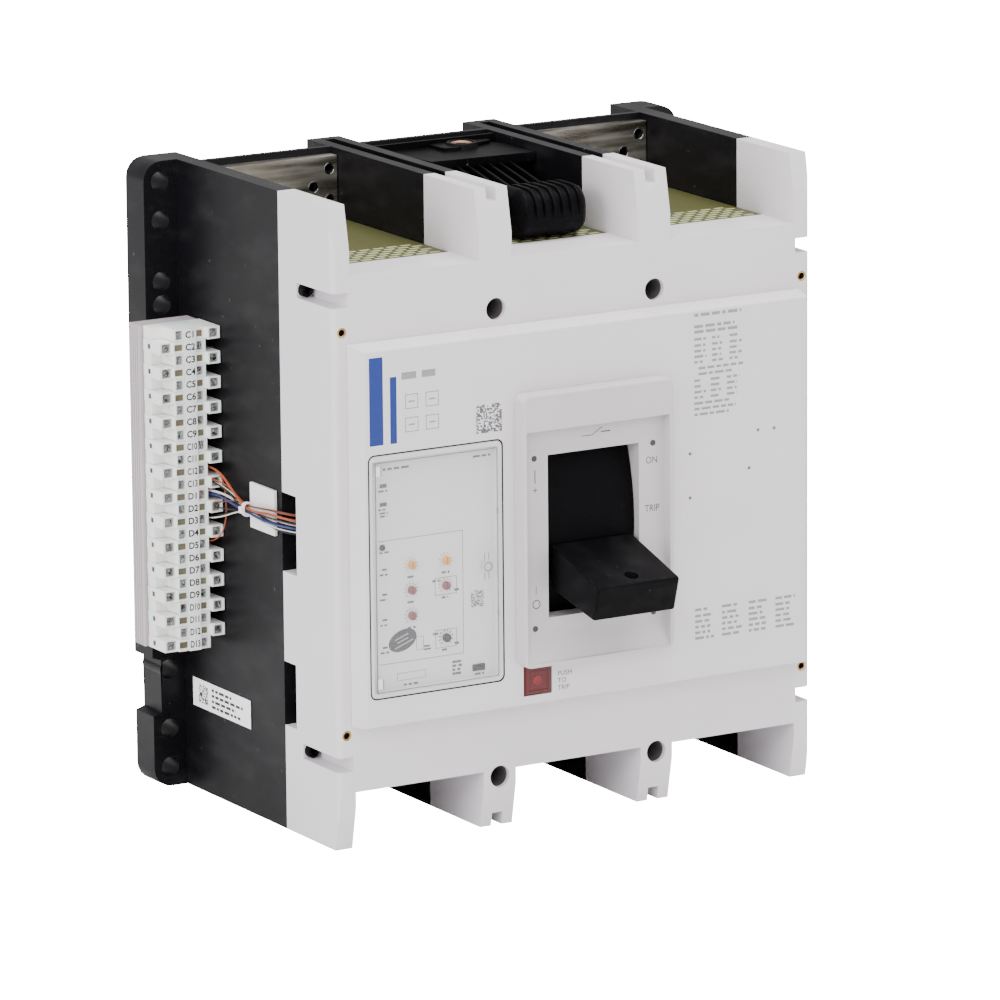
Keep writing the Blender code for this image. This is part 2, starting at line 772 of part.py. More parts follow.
def make_trip_button():
    head = box(BUTTON_X, (226, 238.6), BUTTON_Z)
    soften(head, 0.8, 2, lambda x, d, z: d > 238)
    join(head, rod("d", STEM_AT, (190, 227), 3, 12))
    part("trip_button", head, "red", (STEM_AT[0], 238.6, STEM_AT[1]))

    bar = rod("x", TRIP_SHAFT, around(0, 60), 4, 16)
    finger = [
        (184.5, -84), (177.2, -51), (177.2, -45.5), (181, -45.5), (181.8, -51), (189.5, -84),
    ]
    join(
        bar,
        box((-48, -38), (186, 189.7), (-112, -84)),
        plate("x", around(0, 4), finger),
    )
    part("trip_bar", bar, "black", (0, *TRIP_SHAFT))


# ---------------------------------------------------------------- terminal strip and wires


def row_height(row):
    return STRIP_TOP - STRIP_PITCH * (row + 0.5)


def make_strip():
    rail = box((-216, -174.5), (37, STRIP_BACK - GAP), (-101.5, 105.3))
    for d in (41.5, 46.5):
        cut(rail, box((-217, -215), around(d, 1), (-109, 106)))
    for z in (-90, 90):
        join(rail, box((-195, -176), (EAR_DEPTH + GAP, 38), around(z, 10)))
    part("terminal_rail", rail, "rail_grey")

    bottom = STRIP_TOP - STRIP_ROWS * STRIP_PITCH
    strip = box((-204.5, -182.3), (STRIP_BACK, STRIP_FRONT), (bottom, STRIP_TOP))
    join(strip, box((-213.7, -200), (STRIP_BACK + 1, 66), (bottom + 0.2, STRIP_TOP - 0.2)))
    for row in range(STRIP_ROWS):
        outer = ROW_X[row % 2]
        join(strip, box(outer, (STRIP_BACK + 1.5, STRIP_FRONT - 2), around(row_height(row), 3.7)))
    part("terminal_strip", strip, "white")
    marker = box((-198, -189.5), (STRIP_FRONT + GAP, STRIP_FRONT + 1), (bottom, STRIP_TOP))
    part("strip_marker", marker, "white")


def make_wiring():
    plate_mount = box((-175.5, -HALF_WIDTH - GAP), (118, 149.5), (-15.9, 13))
    part("tie_mount", plate_mount, "white")
    routes = (
        ("orange", 11, 66.0, (-1.4, 1.4)),
        ("white", 13, 63.0, (1.0, 1.0)),
        ("blue", 13, 70.0, (-1.4, -1.2)),
        ("black", 15, 66.0, (1.0, -1.4)),
    )
    for colour, row, start, (dx, dz) in routes:
        z = row_height(row) + dz
        knot = (-178.9 + dx, 121, -3.5 + dz)
        points = [
            (-181.6, start, z), (-177.4 + dx / 2, 83 + dz, z * 0.8), knot,
            (-178.2 + dx, 149, -4 + 2 * dz), (-171 + 0.7 * dx, 162 - 0.7 * dx, -6 + 2 * dz),
            (-158, 165 - 1.2 * dx, -9 + 2 * dz),
        ]
        part(f"wire_{colour}", tube(points, 0.8), colour)
    ring = rounded((-182.4, -175.9), (-8, 1), 2.5, 3)
    inner = rounded((-181.5, -176.8), (-7.1, 0.1), 1.8, 3)
    tie = plate("d", (119.5, 122.5), ring, inner)
    join(tie, box((-184.2, -182.0), (119.2, 123.2), (-5.5, -1.5)))
    part("cable_tie", tie, "white")
    label = box((-173.6, -HALF_WIDTH - 0.3), (34.7, 111), (-148.5, -130))
    part("side_label", label, "white")


def make_extension():
    """The stored handle extension: a socket plate with a boss, a sloping stem and a round grip."""
    socket = [(-30, 47), (20, 47), (38, 52), (44, 62), (44, 100), (-29, 96), (-34, 58)]
    body = plate("z", (192, 198), socket)
    stem = [(80, 197), (100, 193), (165, 179), (165, 163), (100, 172), (70, 186)]
    grip = box((-20, 30), (150, 191), (160.5, 192))
    soften(grip, 9, 3, lambda x, d, z: True)
    join(
        body,
        rod("z", (16, 61), (197, 201.5), 12, 20),
        plate("x", (-10, 30), stem),
        grip,
        box((-30, 38), (50, 84), (176, 193)),
    )
    part("handle_extension", body, "black")


clear_scene()
BREAKER = new_collection("molded_case_breaker")
CUTTERS = new_collection("cutters")
make_base()
make_cover()
make_cover_screws()
make_panel()
make_bezel()
make_handle()
make_frame()
make_latch_lever()
make_toggle()
make_contacts()
make_conductors()
make_arc_chutes()
make_trip_unit()
make_trip_button()
make_strip()
make_wiring()
make_extension()
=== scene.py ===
"""The look of the molded case breaker: finishes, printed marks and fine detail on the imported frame."""

import math
import random

import bmesh
import bpy
from mathutils import Matrix, Vector


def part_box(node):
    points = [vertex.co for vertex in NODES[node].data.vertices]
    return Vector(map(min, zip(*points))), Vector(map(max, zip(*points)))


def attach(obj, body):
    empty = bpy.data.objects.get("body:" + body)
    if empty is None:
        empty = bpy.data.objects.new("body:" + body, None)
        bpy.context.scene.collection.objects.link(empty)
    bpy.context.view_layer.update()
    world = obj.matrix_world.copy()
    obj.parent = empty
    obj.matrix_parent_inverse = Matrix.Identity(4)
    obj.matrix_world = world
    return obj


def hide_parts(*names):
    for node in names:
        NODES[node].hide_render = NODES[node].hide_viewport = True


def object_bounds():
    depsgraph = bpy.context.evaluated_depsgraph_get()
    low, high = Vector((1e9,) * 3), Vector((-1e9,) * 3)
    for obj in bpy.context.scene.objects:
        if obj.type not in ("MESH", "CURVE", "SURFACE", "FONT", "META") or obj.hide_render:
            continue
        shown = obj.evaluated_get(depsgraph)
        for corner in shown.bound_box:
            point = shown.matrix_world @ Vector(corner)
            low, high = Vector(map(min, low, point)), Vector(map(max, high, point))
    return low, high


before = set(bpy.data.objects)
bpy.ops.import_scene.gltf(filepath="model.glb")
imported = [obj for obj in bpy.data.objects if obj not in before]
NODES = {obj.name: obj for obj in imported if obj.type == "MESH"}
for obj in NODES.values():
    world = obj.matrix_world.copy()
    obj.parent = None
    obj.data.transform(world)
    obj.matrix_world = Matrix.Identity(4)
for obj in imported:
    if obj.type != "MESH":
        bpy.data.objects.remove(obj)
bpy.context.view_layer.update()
MM = 0.001
chance = random.Random(7)

# Places on the case in mm: x to the right, d forward from the back plane, z up from the middle
POLES = (-115.05, 0.0, 115.05)
DIVIDER_X = 57.45
WELL_HEIGHTS = (127.8, -170.5)
WELL_FRONT, WELL_BACK = 219.0, 192.0
INSERT_X, INSERT_HEIGHTS = 166.7, (124.6, -129.2)
GROOVE_X, GROOVE_HEIGHTS = 167.5, (144.5, -148.0)
PAD_BACK = 38.0
BEZEL_FLOOR = 243.5
UNIT_FLOOR = 233.6
GAP_DEPTHS = (237.9, 238.45)
TAG_AT = (-132.6, -70.6)
LATCH_AT = (-75.1, -29.8)
LATCH_FRONT = 240.7
PRINT_HALF = 0.05


# ---------------------------------------------------------------- finishes


def linear(colour):
    values = (v / 255 for v in colour)
    return [v / 12.92 if v <= 0.04045 else ((v + 0.055) / 1.055) ** 2.4 for v in values] + [1.0]


def shade(colour, factor):
    return [min(1.0, c * factor) for c in colour[:3]] + [1.0]


class Finish:
    """Builds one node material: mottled colour, grain in roughness and bump, optional marks."""

    def __init__(self, name, colour, rough, metallic=0.0, gloss=0.5):
        self.material = bpy.data.materials.new(name)
        self.material.use_nodes = True
        self.tree = self.material.node_tree
        self.shader = self.tree.nodes["Principled BSDF"]
        self.colour = linear(colour)
        self.rough = rough
        self.shader.inputs["Metallic"].default_value = metallic
        self.shader.inputs["Specular IOR Level"].default_value = gloss
        self.coords = self.tree.nodes.new("ShaderNodeTexCoord")

    def link(self, start, end):
        self.tree.links.new(start, end)

    def noise(self, scale, detail, stretch=None):
        node = self.tree.nodes.new("ShaderNodeTexNoise")
        node.inputs["Scale"].default_value = scale
        node.inputs["Detail"].default_value = detail
        source = self.coords.outputs["Object"]
        if stretch:
            mapping = self.tree.nodes.new("ShaderNodeMapping")
            mapping.inputs["Scale"].default_value = stretch
            self.link(source, mapping.inputs["Vector"])
            source = mapping.outputs["Vector"]
        self.link(source, node.inputs["Vector"])
        return node.outputs["Fac"]

    def ramp(self, factor, stops):
        node = self.tree.nodes.new("ShaderNodeValToRGB")
        marks = node.color_ramp.elements
        while len(marks) < len(stops):
            marks.new(0.5)
        for mark, (place, colour) in zip(marks, stops):
            mark.position = place
            mark.color = colour
        self.link(factor, node.inputs["Fac"])
        return node.outputs["Color"]

    def spread(self, factor, low, high, first=0.3, last=0.7):
        node = self.tree.nodes.new("ShaderNodeMapRange")
        for socket, value in (("From Min", first), ("From Max", last), ("To Min", low), ("To Max", high)):
            node.inputs[socket].default_value = value
        self.link(factor, node.inputs["Value"])
        return node.outputs["Result"]

    def mix(self, factor, first, second):
        node = self.tree.nodes.new("ShaderNodeMix")
        node.data_type = "RGBA"
        self.link(factor, node.inputs[0])
        for socket, value in ((node.inputs[6], first), (node.inputs[7], second)):
            if isinstance(value, list):
                socket.default_value = value
            else:
                self.link(value, socket)
        return node.outputs[2]

    def done(self, colour, rough=None, height=None, depth=0.0):
        self.shader.inputs["Roughness"].default_value = self.rough
        self.shader.inputs["Base Color"].default_value = self.colour
        self.link(colour, self.shader.inputs["Base Color"])
        if rough is not None:
            self.link(rough, self.shader.inputs["Roughness"])
        if height is not None:
            bump = self.tree.nodes.new("ShaderNodeBump")
            bump.inputs["Strength"].default_value = 1.0
            bump.inputs["Distance"].default_value = depth * MM
            self.link(height, bump.inputs["Height"])
            self.link(bump.outputs["Normal"], self.shader.inputs["Normal"])
        return self.material


def moulded(name, colour, rough, vary, grain=900.0, depth=0.02, soft=0.0):
    """Moulded plastic: slow mottling of the colour and a fine spark-eroded grain."""
    made = Finish(name, colour, rough)
    base = made.colour
    broad = made.noise(22.0, 4.0)
    fine = made.noise(grain, 2.0)
    tone = made.ramp(broad, [(0.3, shade(base, 1 - vary)), (0.7, shade(base, 1 + vary))])
    if soft:
        made.shader.inputs["Subsurface Weight"].default_value = soft
        made.shader.inputs["Subsurface Scale"].default_value = 0.003
    return made.done(tone, made.spread(broad, rough - 0.05, rough + 0.07), fine, depth)


def handled(name, colour, rough, scuff, amount, gloss):
    """Dark moulded plastic with cloudy handling marks and small pale scuffs."""
    made = Finish(name, colour, rough, 0.0, gloss)
    base = made.colour
    broad = made.noise(14.0, 5.0)
    fine = made.noise(1100.0, 2.0)
    streaks = made.noise(45.0, 4.0, (1.0, 0.6, 1.6))
    specks = made.noise(190.0, 2.0)
    tone = made.ramp(broad, [(0.3, shade(base, 0.8)), (0.72, shade(base, 1.3))])
    dusty = made.mix(made.spread(streaks, 0.0, 0.06 * amount, 0.5, 0.8), tone, linear(scuff))
    marked = made.mix(made.spread(specks, 0.0, 0.5 * amount, 0.73, 0.8), dusty, linear(scuff))
    return made.done(marked, made.spread(broad, rough - 0.04, rough + 0.08), fine, 0.012)


def metal(name, colour, dark, rough, stretch, scale, depth=0.01):
    """Plated or machined metal: drawn grain and patches of tarnish."""
    made = Finish(name, colour, rough, 1.0)
    lines = made.noise(scale, 6.0, stretch)
    patches = made.noise(30.0, 4.0)
    tone = made.ramp(lines, [(0.3, linear(dark)), (0.62, made.colour)])
    worn = made.mix(made.spread(patches, 0.0, 0.6, 0.5, 0.75), tone, linear(dark))
    return made.done(worn, made.spread(lines, rough - 0.08, rough + 0.15), lines, depth)


def ink(name, colour):
    """Screen-printed ink, a little uneven."""
    made = Finish(name, colour, 0.5)
    grain = made.noise(1500.0, 3.0)
    return made.done(made.ramp(grain, [(0.25, shade(made.colour, 0.85)), (0.7, shade(made.colour, 1.25))]))


COVER = moulded("cover_grey", (219, 214, 218), 0.42, 0.02, 800.0, 0.012)
BEZEL = moulded("bezel_grey", (196, 191, 194), 0.4, 0.02, 900.0, 0.01)
UNIT = moulded("unit_grey", (214, 213, 214), 0.4, 0.02, 1000.0, 0.01)
# Dark grey: the status lamps' own colour, and painted shade in the bezel's small holes and in the test slots
# on the strip's side.
DARK_GREY_AND_SHADE = moulded("dark_grey_and_shadow", (62, 62, 66), 0.5, 0.1)
# Painted edge shade: grey lines on the clear window and latch for the shade and reflection at their edges.
EDGE_SHADE = moulded("edge_shade_grey", (138, 138, 142), 0.35, 0.1)
# Painted shadow: near-black for the shadow down the gap round the trip unit.
GAP_SHADE = moulded("gap_shade_black", (10, 10, 11), 0.7, 0.1)
BASE = handled("case_black", (12, 11, 15), 0.38, (130, 128, 130), 0.7, 0.15)
BLACK = handled("satin_black", (7, 6, 8), 0.42, (120, 120, 122), 0.5, 0.05)
SOOT = handled("inner_black", (6, 5, 7), 0.6, (60, 60, 60), 0.2, 0.06)
RED = moulded("button_red", (84, 6, 12), 0.35, 0.1, 1200.0, 0.01)
DEEP_RED = moulded("dial_red", (118, 20, 28), 0.35, 0.1, 1500.0, 0.01)
YELLOW = moulded("dial_yellow", (206, 142, 20), 0.35, 0.1, 1500.0, 0.01)
WHITE = moulded("nylon_white", (236, 236, 234), 0.38, 0.03, 700.0, 0.02, 0.15)
BLOCK = moulded("strip_white", (238, 239, 236), 0.3, 0.03, 600.0, 0.02, 0.35)
MARKER = moulded("marker_white", (246, 246, 248), 0.5, 0.015, 1500.0, 0.005)
LABEL = moulded("label_white", (252, 252, 254), 0.55, 0.015, 1500.0, 0.005)
RAIL = moulded("rail_grey", (178, 169, 172), 0.3, 0.04, 500.0, 0.02, 0.1)
BROWN = moulded("moulded_brown", (92, 58, 38), 0.5, 0.12)
# Painted shade: a darker grey for the shade deep down the screw wells.
WELL = moulded("well_shade", (90, 86, 88), 0.5, 0.08, 500.0)
ENTRY = moulded("entry_shade", (104, 98, 74), 0.6, 0.2, 400.0)
# Painted shade: grey for the shade on the floors of the terminal blocks' screw pockets.
POCKET_SHADE = moulded("pocket_shade_grey", (150, 150, 150), 0.5, 0.12, 500.0)
PALE_GREEN = moulded("grid_pale", (176, 180, 138), 0.6, 0.1, 400.0)
TIN = metal("tin_plate", (222, 217, 208), (136, 129, 114), 0.3, (0.25, 1.0, 3.0), 55.0, 0.02)
STEEL = metal("zinc_steel", (176, 176, 178), (110, 110, 112), 0.34, (1.0, 1.0, 1.0), 90.0)
SCREW = metal("terminal_screw", (186, 186, 186), (80, 80, 80), 0.28, (1.0, 1.0, 1.0), 300.0)
DARK_STEEL = metal("blackened_steel", (70, 70, 72), (30, 30, 31), 0.4, (1.0, 1.0, 1.0), 200.0)
COPPER = metal("copper", (196, 130, 92), (120, 72, 48), 0.3, (1.0, 0.3, 3.0), 80.0)
COIN = metal("coin_copper", (196, 158, 136), (140, 98, 78), 0.45, (1.0, 1.0, 1.0), 120.0)
BRASS = metal("brass", (224, 190, 130), (130, 96, 50), 0.25, (1.0, 1.0, 1.0), 160.0)
INK_GREY = ink("ink_grey", (74, 74, 78))
INK_PALE = ink("ink_pale", (136, 134, 138))
INK_DARK = ink("ink_dark", (22, 22, 26))
INK_BLUE = ink("ink_blue", (8, 40, 118))
INK_YELLOW = ink("ink_yellow", (214, 158, 44))
INSULATION = {
    "orange": moulded("lead_orange", (158, 70, 38), 0.4, 0.06, 900.0, 0.01),
    "white": moulded("lead_white", (222, 218, 212), 0.4, 0.04, 900.0, 0.01),
    "blue": moulded("lead_blue", (38, 52, 104), 0.4, 0.06, 900.0, 0.01),
    "black": moulded("lead_black", (24, 22, 24), 0.4, 0.1, 900.0, 0.01),
    "brown": moulded("lead_brown", (104, 50, 34), 0.4, 0.08, 900.0, 0.01),
}


def fibre_sheet():
    """Olive laminate: a woven grain under resin, with darker patches."""
    made = Finish("olive_laminate", (82, 82, 41), 0.5)
    warp = made.noise(220.0, 2.0, (1.0, 8.0, 1.0))
    weft = made.noise(220.0, 2.0, (8.0, 1.0, 1.0))
    patches = made.noise(18.0, 4.0)
    base = made.ramp(warp, [(0.3, shade(made.colour, 0.8)), (0.7, shade(made.colour, 1.15))])
    woven = made.mix(made.spread(weft, 0.0, 0.5), base, shade(made.colour, 0.9))
    tone = made.mix(made.spread(patches, 0.0, 0.5, 0.45, 0.7), woven, shade(made.colour, 0.62))
    return made.done(tone, made.spread(patches, 0.38, 0.6), warp, 0.02)


def clear_sheet():
    """Clear polycarbonate with a faint haze."""
    made = Finish("clear_polycarbonate", (236, 238, 240), 0.08)
    haze = made.noise(30.0, 3.0)
    tone = made.ramp(haze, [(0.3, shade(made.colour, 0.94)), (0.7, made.colour)])
    made.shader.inputs["Alpha"].default_value = 0.07
    made.shader.inputs["IOR"].default_value = 1.58
    made.material.surface_render_method = "BLENDED"
    return made.done(tone, made.spread(haze, 0.05, 0.14), haze, 0.01)


OLIVE = fibre_sheet()
CLEAR = clear_sheet()


# ---------------------------------------------------------------- mesh helpers


def at(x, d, z):
    return Vector((x * MM, -d * MM, z * MM))


FRONT = Matrix(((1, 0, 0, 0), (0, 0, -1, 0), (0, 1, 0, 0), (0, 0, 0, 1)))


def piece(name, form, body, look, bevel=0.0, flat=True):
    """Turns a bmesh into a piece that rides on a body, with rounded edges if a bevel is given."""
    bmesh.ops.remove_doubles(form, verts=form.verts, dist=2e-6)
    bmesh.ops.recalc_face_normals(form, faces=form.faces)
    mesh = bpy.data.meshes.new(name)
    form.to_mesh(mesh)
    form.free()
    mesh.materials.append(look)
    thing = bpy.data.objects.new(name, mesh)
    bpy.context.scene.collection.objects.link(thing)
    finish_edges(thing, bevel, flat)
    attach(thing, body)
    return thing


def smooth_group():
    """A node group that joins split corners and shades faces smooth."""
    group = bpy.data.node_groups.new("smooth", "GeometryNodeTree")
    group.interface.new_socket("Geometry", in_out="INPUT", socket_type="NodeSocketGeometry")
    group.interface.new_socket("Geometry", in_out="OUTPUT", socket_type="NodeSocketGeometry")
    first = group.nodes.new("NodeGroupInput")
    weld = group.nodes.new("GeometryNodeMergeByDistance")
    weld.inputs["Distance"].default_value = 2e-6
    smooth = group.nodes.new("GeometryNodeSetShadeSmooth")
    last = group.nodes.new("NodeGroupOutput")
    group.links.new(first.outputs[0], weld.inputs[0])
    group.links.new(weld.outputs[0], smooth.inputs[0])
    group.links.new(smooth.outputs[0], last.inputs[0])
    return group


SMOOTH = smooth_group()


def finish_edges(thing, bevel, flat=True):
    thing.modifiers.new("smooth", "NODES").node_group = SMOOTH
    if bevel and flat:
        faces = thing.modifiers.new("flat", "DECIMATE")
        faces.decimate_type = "DISSOLVE"
        faces.angle_limit = math.radians(0.8)
    if bevel:
        edges = thing.modifiers.new("edges", "BEVEL")
        edges.width = bevel * MM
        edges.segments = 2
        edges.limit_method = "ANGLE"
        edges.angle_limit = math.radians(38)
    normals = thing.modifiers.new("normals", "WEIGHTED_NORMAL")
    normals.weight = 60


def block(form, x, d, z):
    corners = [at(x[i], d[j], z[k]) for i in (0, 1) for j in (0, 1) for k in (0, 1)]
    points = [form.verts.new(corner) for corner in corners]
    for face in ((0, 1, 3, 2), (4, 6, 7, 5), (0, 4, 5, 1), (2, 3, 7, 6), (0, 2, 6, 4), (1, 5, 7, 3)):
        form.faces.new([points[i] for i in face])


def blocks(*boxes):
    form = bmesh.new()
    for x, d, z in boxes:
        block(form, x, d, z)
    return form


def span(middle, half):
    return middle - half, middle + half


def lathe(form, profile, matrix, sides):
    """Turns (radius, height) pairs round the matrix's Z axis; a radius of 0 closes an end."""
    rings = []
    for radius, height in profile:
        if radius == 0:
            rings.append([form.verts.new(matrix @ Vector((0, 0, height * MM)))])
            continue
        reach = radius * MM
        turns = [2 * math.pi * i / sides for i in range(sides)]
        rings.append([
            form.verts.new(matrix @ Vector((reach * math.cos(a), reach * math.sin(a), height * MM)))
            for a in turns
        ])
    for low, high in zip(rings, rings[1:]):
        for i in range(sides):
            j = (i + 1) % sides
            corners = [low[i % len(low)], low[j % len(low)], high[j % len(high)], high[i % len(high)]]
            corners = [c for n, c in enumerate(corners) if c not in corners[:n]]
            if len(corners) > 2:
                form.faces.new(corners)


def facing_front(x, d, z):
    """A matrix whose Z axis points out of the front, with its origin at that place."""
    return Matrix.Translation(at(x, d, z)) @ FRONT


def prism(form, outline, low, high):
    """A solid between two lists of places made from the same outline."""
    first = [form.verts.new(low(*point)) for point in outline]
    last = [form.verts.new(high(*point)) for point in outline]
    form.faces.new(first)
    form.faces.new(list(reversed(last)))
    count = len(outline)
    for i in range(count):
        j = (i + 1) % count
        form.faces.new([first[i], last[i], last[j], first[j]])


def relief(form, xs, zs, back, front):
    """A block whose front is stepped: front(i, j) is the depth of the cell between lines i and i + 1."""
    columns, rows = len(xs) - 1, len(zs) - 1

    def depth(i, j):
        inside = 0 <= i < columns and 0 <= j < rows
        value = front(i, j) if inside else back
        return back if value is None else value

    def quad(*places):
        form.faces.new([form.verts.new(at(*place)) for place in places])

    for i in range(columns):
        for j in range(rows):
            top = depth(i, j)
            if top == back:
                continue
            x0, x1, z0, z1 = xs[i], xs[i + 1], zs[j], zs[j + 1]
            quad((x0, top, z0), (x1, top, z0), (x1, top, z1), (x0, top, z1))
            quad((x0, back, z0), (x0, back, z1), (x1, back, z1), (x1, back, z0))
            for near, (xa, za), (xb, zb) in (
                (depth(i - 1, j), (x0, z1), (x0, z0)),
                (depth(i + 1, j), (x1, z0), (x1, z1)),
                (depth(i, j - 1), (x0, z0), (x1, z0)),
                (depth(i, j + 1), (x1, z1), (x0, z1)),
            ):
                if near < top:
                    quad((xa, near, za), (xb, near, zb), (xb, top, zb), (xa, top, za))


def rimmed(base, rim, groove, middle):
    """Heights over a base for a five by five relief: an outer rim, a groove inside it, a middle."""

    def depth(i, j):
        edge = min(i, j, 4 - i, 4 - j)
        return base + (rim, groove, middle)[edge]

    return depth


def rounded(x, z, radius, steps):
    """The outline of a rectangle with rounded corners, anticlockwise."""
    points = []
    for u, v, start in (
        (x[1] - radius, z[1] - radius, 0), (x[0] + radius, z[1] - radius, 90),
        (x[0] + radius, z[0] + radius, 180), (x[1] - radius, z[0] + radius, 270),
    ):
        for i in range(steps + 1):
            angle = math.radians(start + 90 * i / steps)
            points.append((u + radius * math.cos(angle), v + radius * math.sin(angle)))
    return points


def bars(name, look, depth, rects):
    """Printed marks: flat bars that stand just proud of a front face, as (x, x, z, z)."""
    form = blocks(*(((x0, x1), span(depth, PRINT_HALF), (z0, z1)) for x0, x1, z0, z1 in rects))
    return piece(name, form, "case", look)


def outline_bars(x0, x1, z0, z1, w):
    return [(x0, x1, z1 - w, z1), (x0, x1, z0, z0 + w), (x0, x0 + w, z0, z1), (x1 - w, x1, z0, z1)]


def code_square(x0, z0, x1, z1, cells):
    """A plain random grid in place of a printed code."""
    sx, sz = (x1 - x0) / cells, (z1 - z0) / cells
    found = []
    for i in range(cells):
        for j in range(cells):
            if chance.random() < 0.5:
                found.append((x0 + i * sx, x0 + (i + 0.9) * sx, z0 + j * sz, z0 + (j + 0.9) * sz))
    return found


def text_lines(x0, x1, tops, height):
    """Rows of short bars in place of small print."""
    found = []
    for top in tops:
        x = x0
        end = x0 + (x1 - x0) * chance.uniform(0.6, 1.0)
        while x < end:
            wide = chance.uniform(1.2, 4.2) * height
            found.append((x, min(x + wide, end), top - height, top))
            x += wide + 0.9 * height
    return found


def lettering(form, text, size, matrix, align="CENTER", weight=0.0):
    """Adds generic lettering to a form; the matrix takes the text's plane to its place."""
    curve = bpy.data.curves.new("letters", "FONT")
    curve.body = text
    curve.size = size * MM
    curve.extrude = 0.04 * MM
    curve.offset = weight * MM
    curve.resolution_u = 3
    curve.align_x = align
    curve.align_y = "CENTER"
    thing = bpy.data.objects.new("letters", curve)
    bpy.context.scene.collection.objects.link(thing)
    bpy.context.view_layer.update()
    mesh = bpy.data.meshes.new_from_object(thing)
    mesh.transform(matrix)
    form.from_mesh(mesh)
    bpy.data.objects.remove(thing)
    bpy.data.meshes.remove(mesh)


def dress(name, look, bevel):
    node = NODES[name]
    if not node.material_slots:
        node.data.materials.append(look)
    for slot in node.material_slots:
        slot.material = look
    finish_edges(node, bevel)


# ---------------------------------------------------------------- finishes of the CAD nodes


def dress_nodes():
    looks = {
        "base": (BASE, 0.5), "front_cover": (COVER, 0.7), "front_panel": (COVER, 1.0),
        "handle_bezel": (BEZEL, 0.7), "trip_unit": (UNIT, 0.35), "operating_handle": (BLACK, 0.9),
        "handle_slide": (SOOT, 0.0), "handle_yoke": (DARK_STEEL, 0.3), "mechanism_frame": (STEEL, 0.3),
        "latch_lever": (STEEL, 0.2), "upper_toggle_link": (STEEL, 0.2), "lower_toggle_link": (STEEL, 0.2),
        "main_spring_left": (DARK_STEEL, 0.0), "main_spring_right": (DARK_STEEL, 0.0),
        "crossbar": (BROWN, 0.5), "trip_bar": (BROWN, 0.2), "reset_button": (BLACK, 0.2),
        "trip_unit_window": (CLEAR, 0.2), "window_latch": (CLEAR, 0.2), "terminal_rail": (RAIL, 0.0),
        "strip_marker": (MARKER, 0.0), "tie_mount": (WHITE, 0.3), "cable_tie": (WHITE, 0.15),
        "side_label": (LABEL, 0.0), "vent_sheet_2": (OLIVE, 0.0), "vent_sheet_1": (OLIVE, 0.0),
        "vent_sheet_3": (OLIVE, 0.0), "handle_extension": (BLACK, 0.0), "terminal_strip": (BLOCK, 0.0),
        "trip_button": (RED, 0.3),
    }
    for number in (1, 2, 3):
        looks[f"line_terminal_{number}"] = (TIN, 0.3)
        looks[f"load_terminal_{number}"] = (TIN, 0.3)
        looks[f"contact_arm_{number}"] = (COPPER, 0.4)
        looks[f"arc_chute_{number}"] = (STEEL, 0.0)
        looks[f"current_sensor_{number}"] = (SOOT, 0.6)
    for number in (1, 2, 3, 4):
        looks[f"cover_screw_{number}"] = (STEEL, 0.2)
    for number, look in enumerate((YELLOW, YELLOW, DEEP_RED, DEEP_RED, DEEP_RED, BLACK), 1):
        looks[f"dial_{number}"] = (look, 0.15)
    for colour in ("orange", "white", "blue", "black"):
        looks[f"wire_{colour}"] = (INSULATION[colour], 0.0)
    for name, (look, bevel) in looks.items():
        dress(name, look, bevel)


# ---------------------------------------------------------------- cover and base details


def fit_inserts():
    form = bmesh.new()
    for side in (-1, 1):
        for z in INSERT_HEIGHTS:
            profile = [(3.2, 9.0), (3.2, 11.2), (2.9, 11.6), (2.3, 11.6)]
            for turn in range(9):
                profile += [(1.9, 11.2 - turn), (2.3, 10.7 - turn)]
            profile += [(1.9, 2.0), (0, 2.0)]
            lathe(form, profile, facing_front(side * INSERT_X, 211.2, z), 20)
    piece("brass_inserts", form, "case", BRASS)


def fit_side_screws():
    form = bmesh.new()
    for side in (-1, 1):
        for z in GROOVE_HEIGHTS:
            profile = [(0, 0), (4.2, 0), (4.2, 9.5), (3.7, 10.2), (2.2, 10.2), (2.2, 6.5), (0, 6.0)]
            lathe(form, profile, facing_front(side * GROOVE_X, 172.0, z), 24)
    piece("side_screws", form, "case", BLACK)


def fit_well_shade_tubes():
    """Darker grey tubes down the screw wells, as far as the screw heads: painted shade of the deep wells."""
    form = bmesh.new()
    for side in (-1, 1):
        for z in WELL_HEIGHTS:
            profile = [
                (6.95, WELL_FRONT), (6.45, WELL_FRONT + 0.6), (6.35, WELL_BACK), (6.95, WELL_BACK),
                (6.95, WELL_FRONT),
            ]
            lathe(form, profile, facing_front(side * DIVIDER_X, 0.0, z), 32)
    piece("well_liners", form, "case", WELL)


def fit_thread_sleeves():
    """Rolled threads inside the terminal holes."""
    for number, pole in enumerate(POLES, 1):
        for label, end in (("line", 1), ("load", -1)):
            form = bmesh.new()
            for side in (-1, 1):
                for x, z in ((39.8, 190.8), (28.3, 179.8), (39.8, 170.4)):
                    profile = [(3.95, 0.4), (3.95, 7.9), (3.6, 8.1), (3.4, 7.9)]
                    for turn in range(6):
                        profile += [(3.05, 7.4 - 1.2 * turn), (3.45, 6.8 - 1.2 * turn)]
                    profile += [(3.4, 0.4), (3.95, 0.4)]
                    lathe(form, profile, facing_front(pole + side * x, PAD_BACK, end * z), 20)
            piece(f"{label}_threads_{number}", form, "case", SCREW)


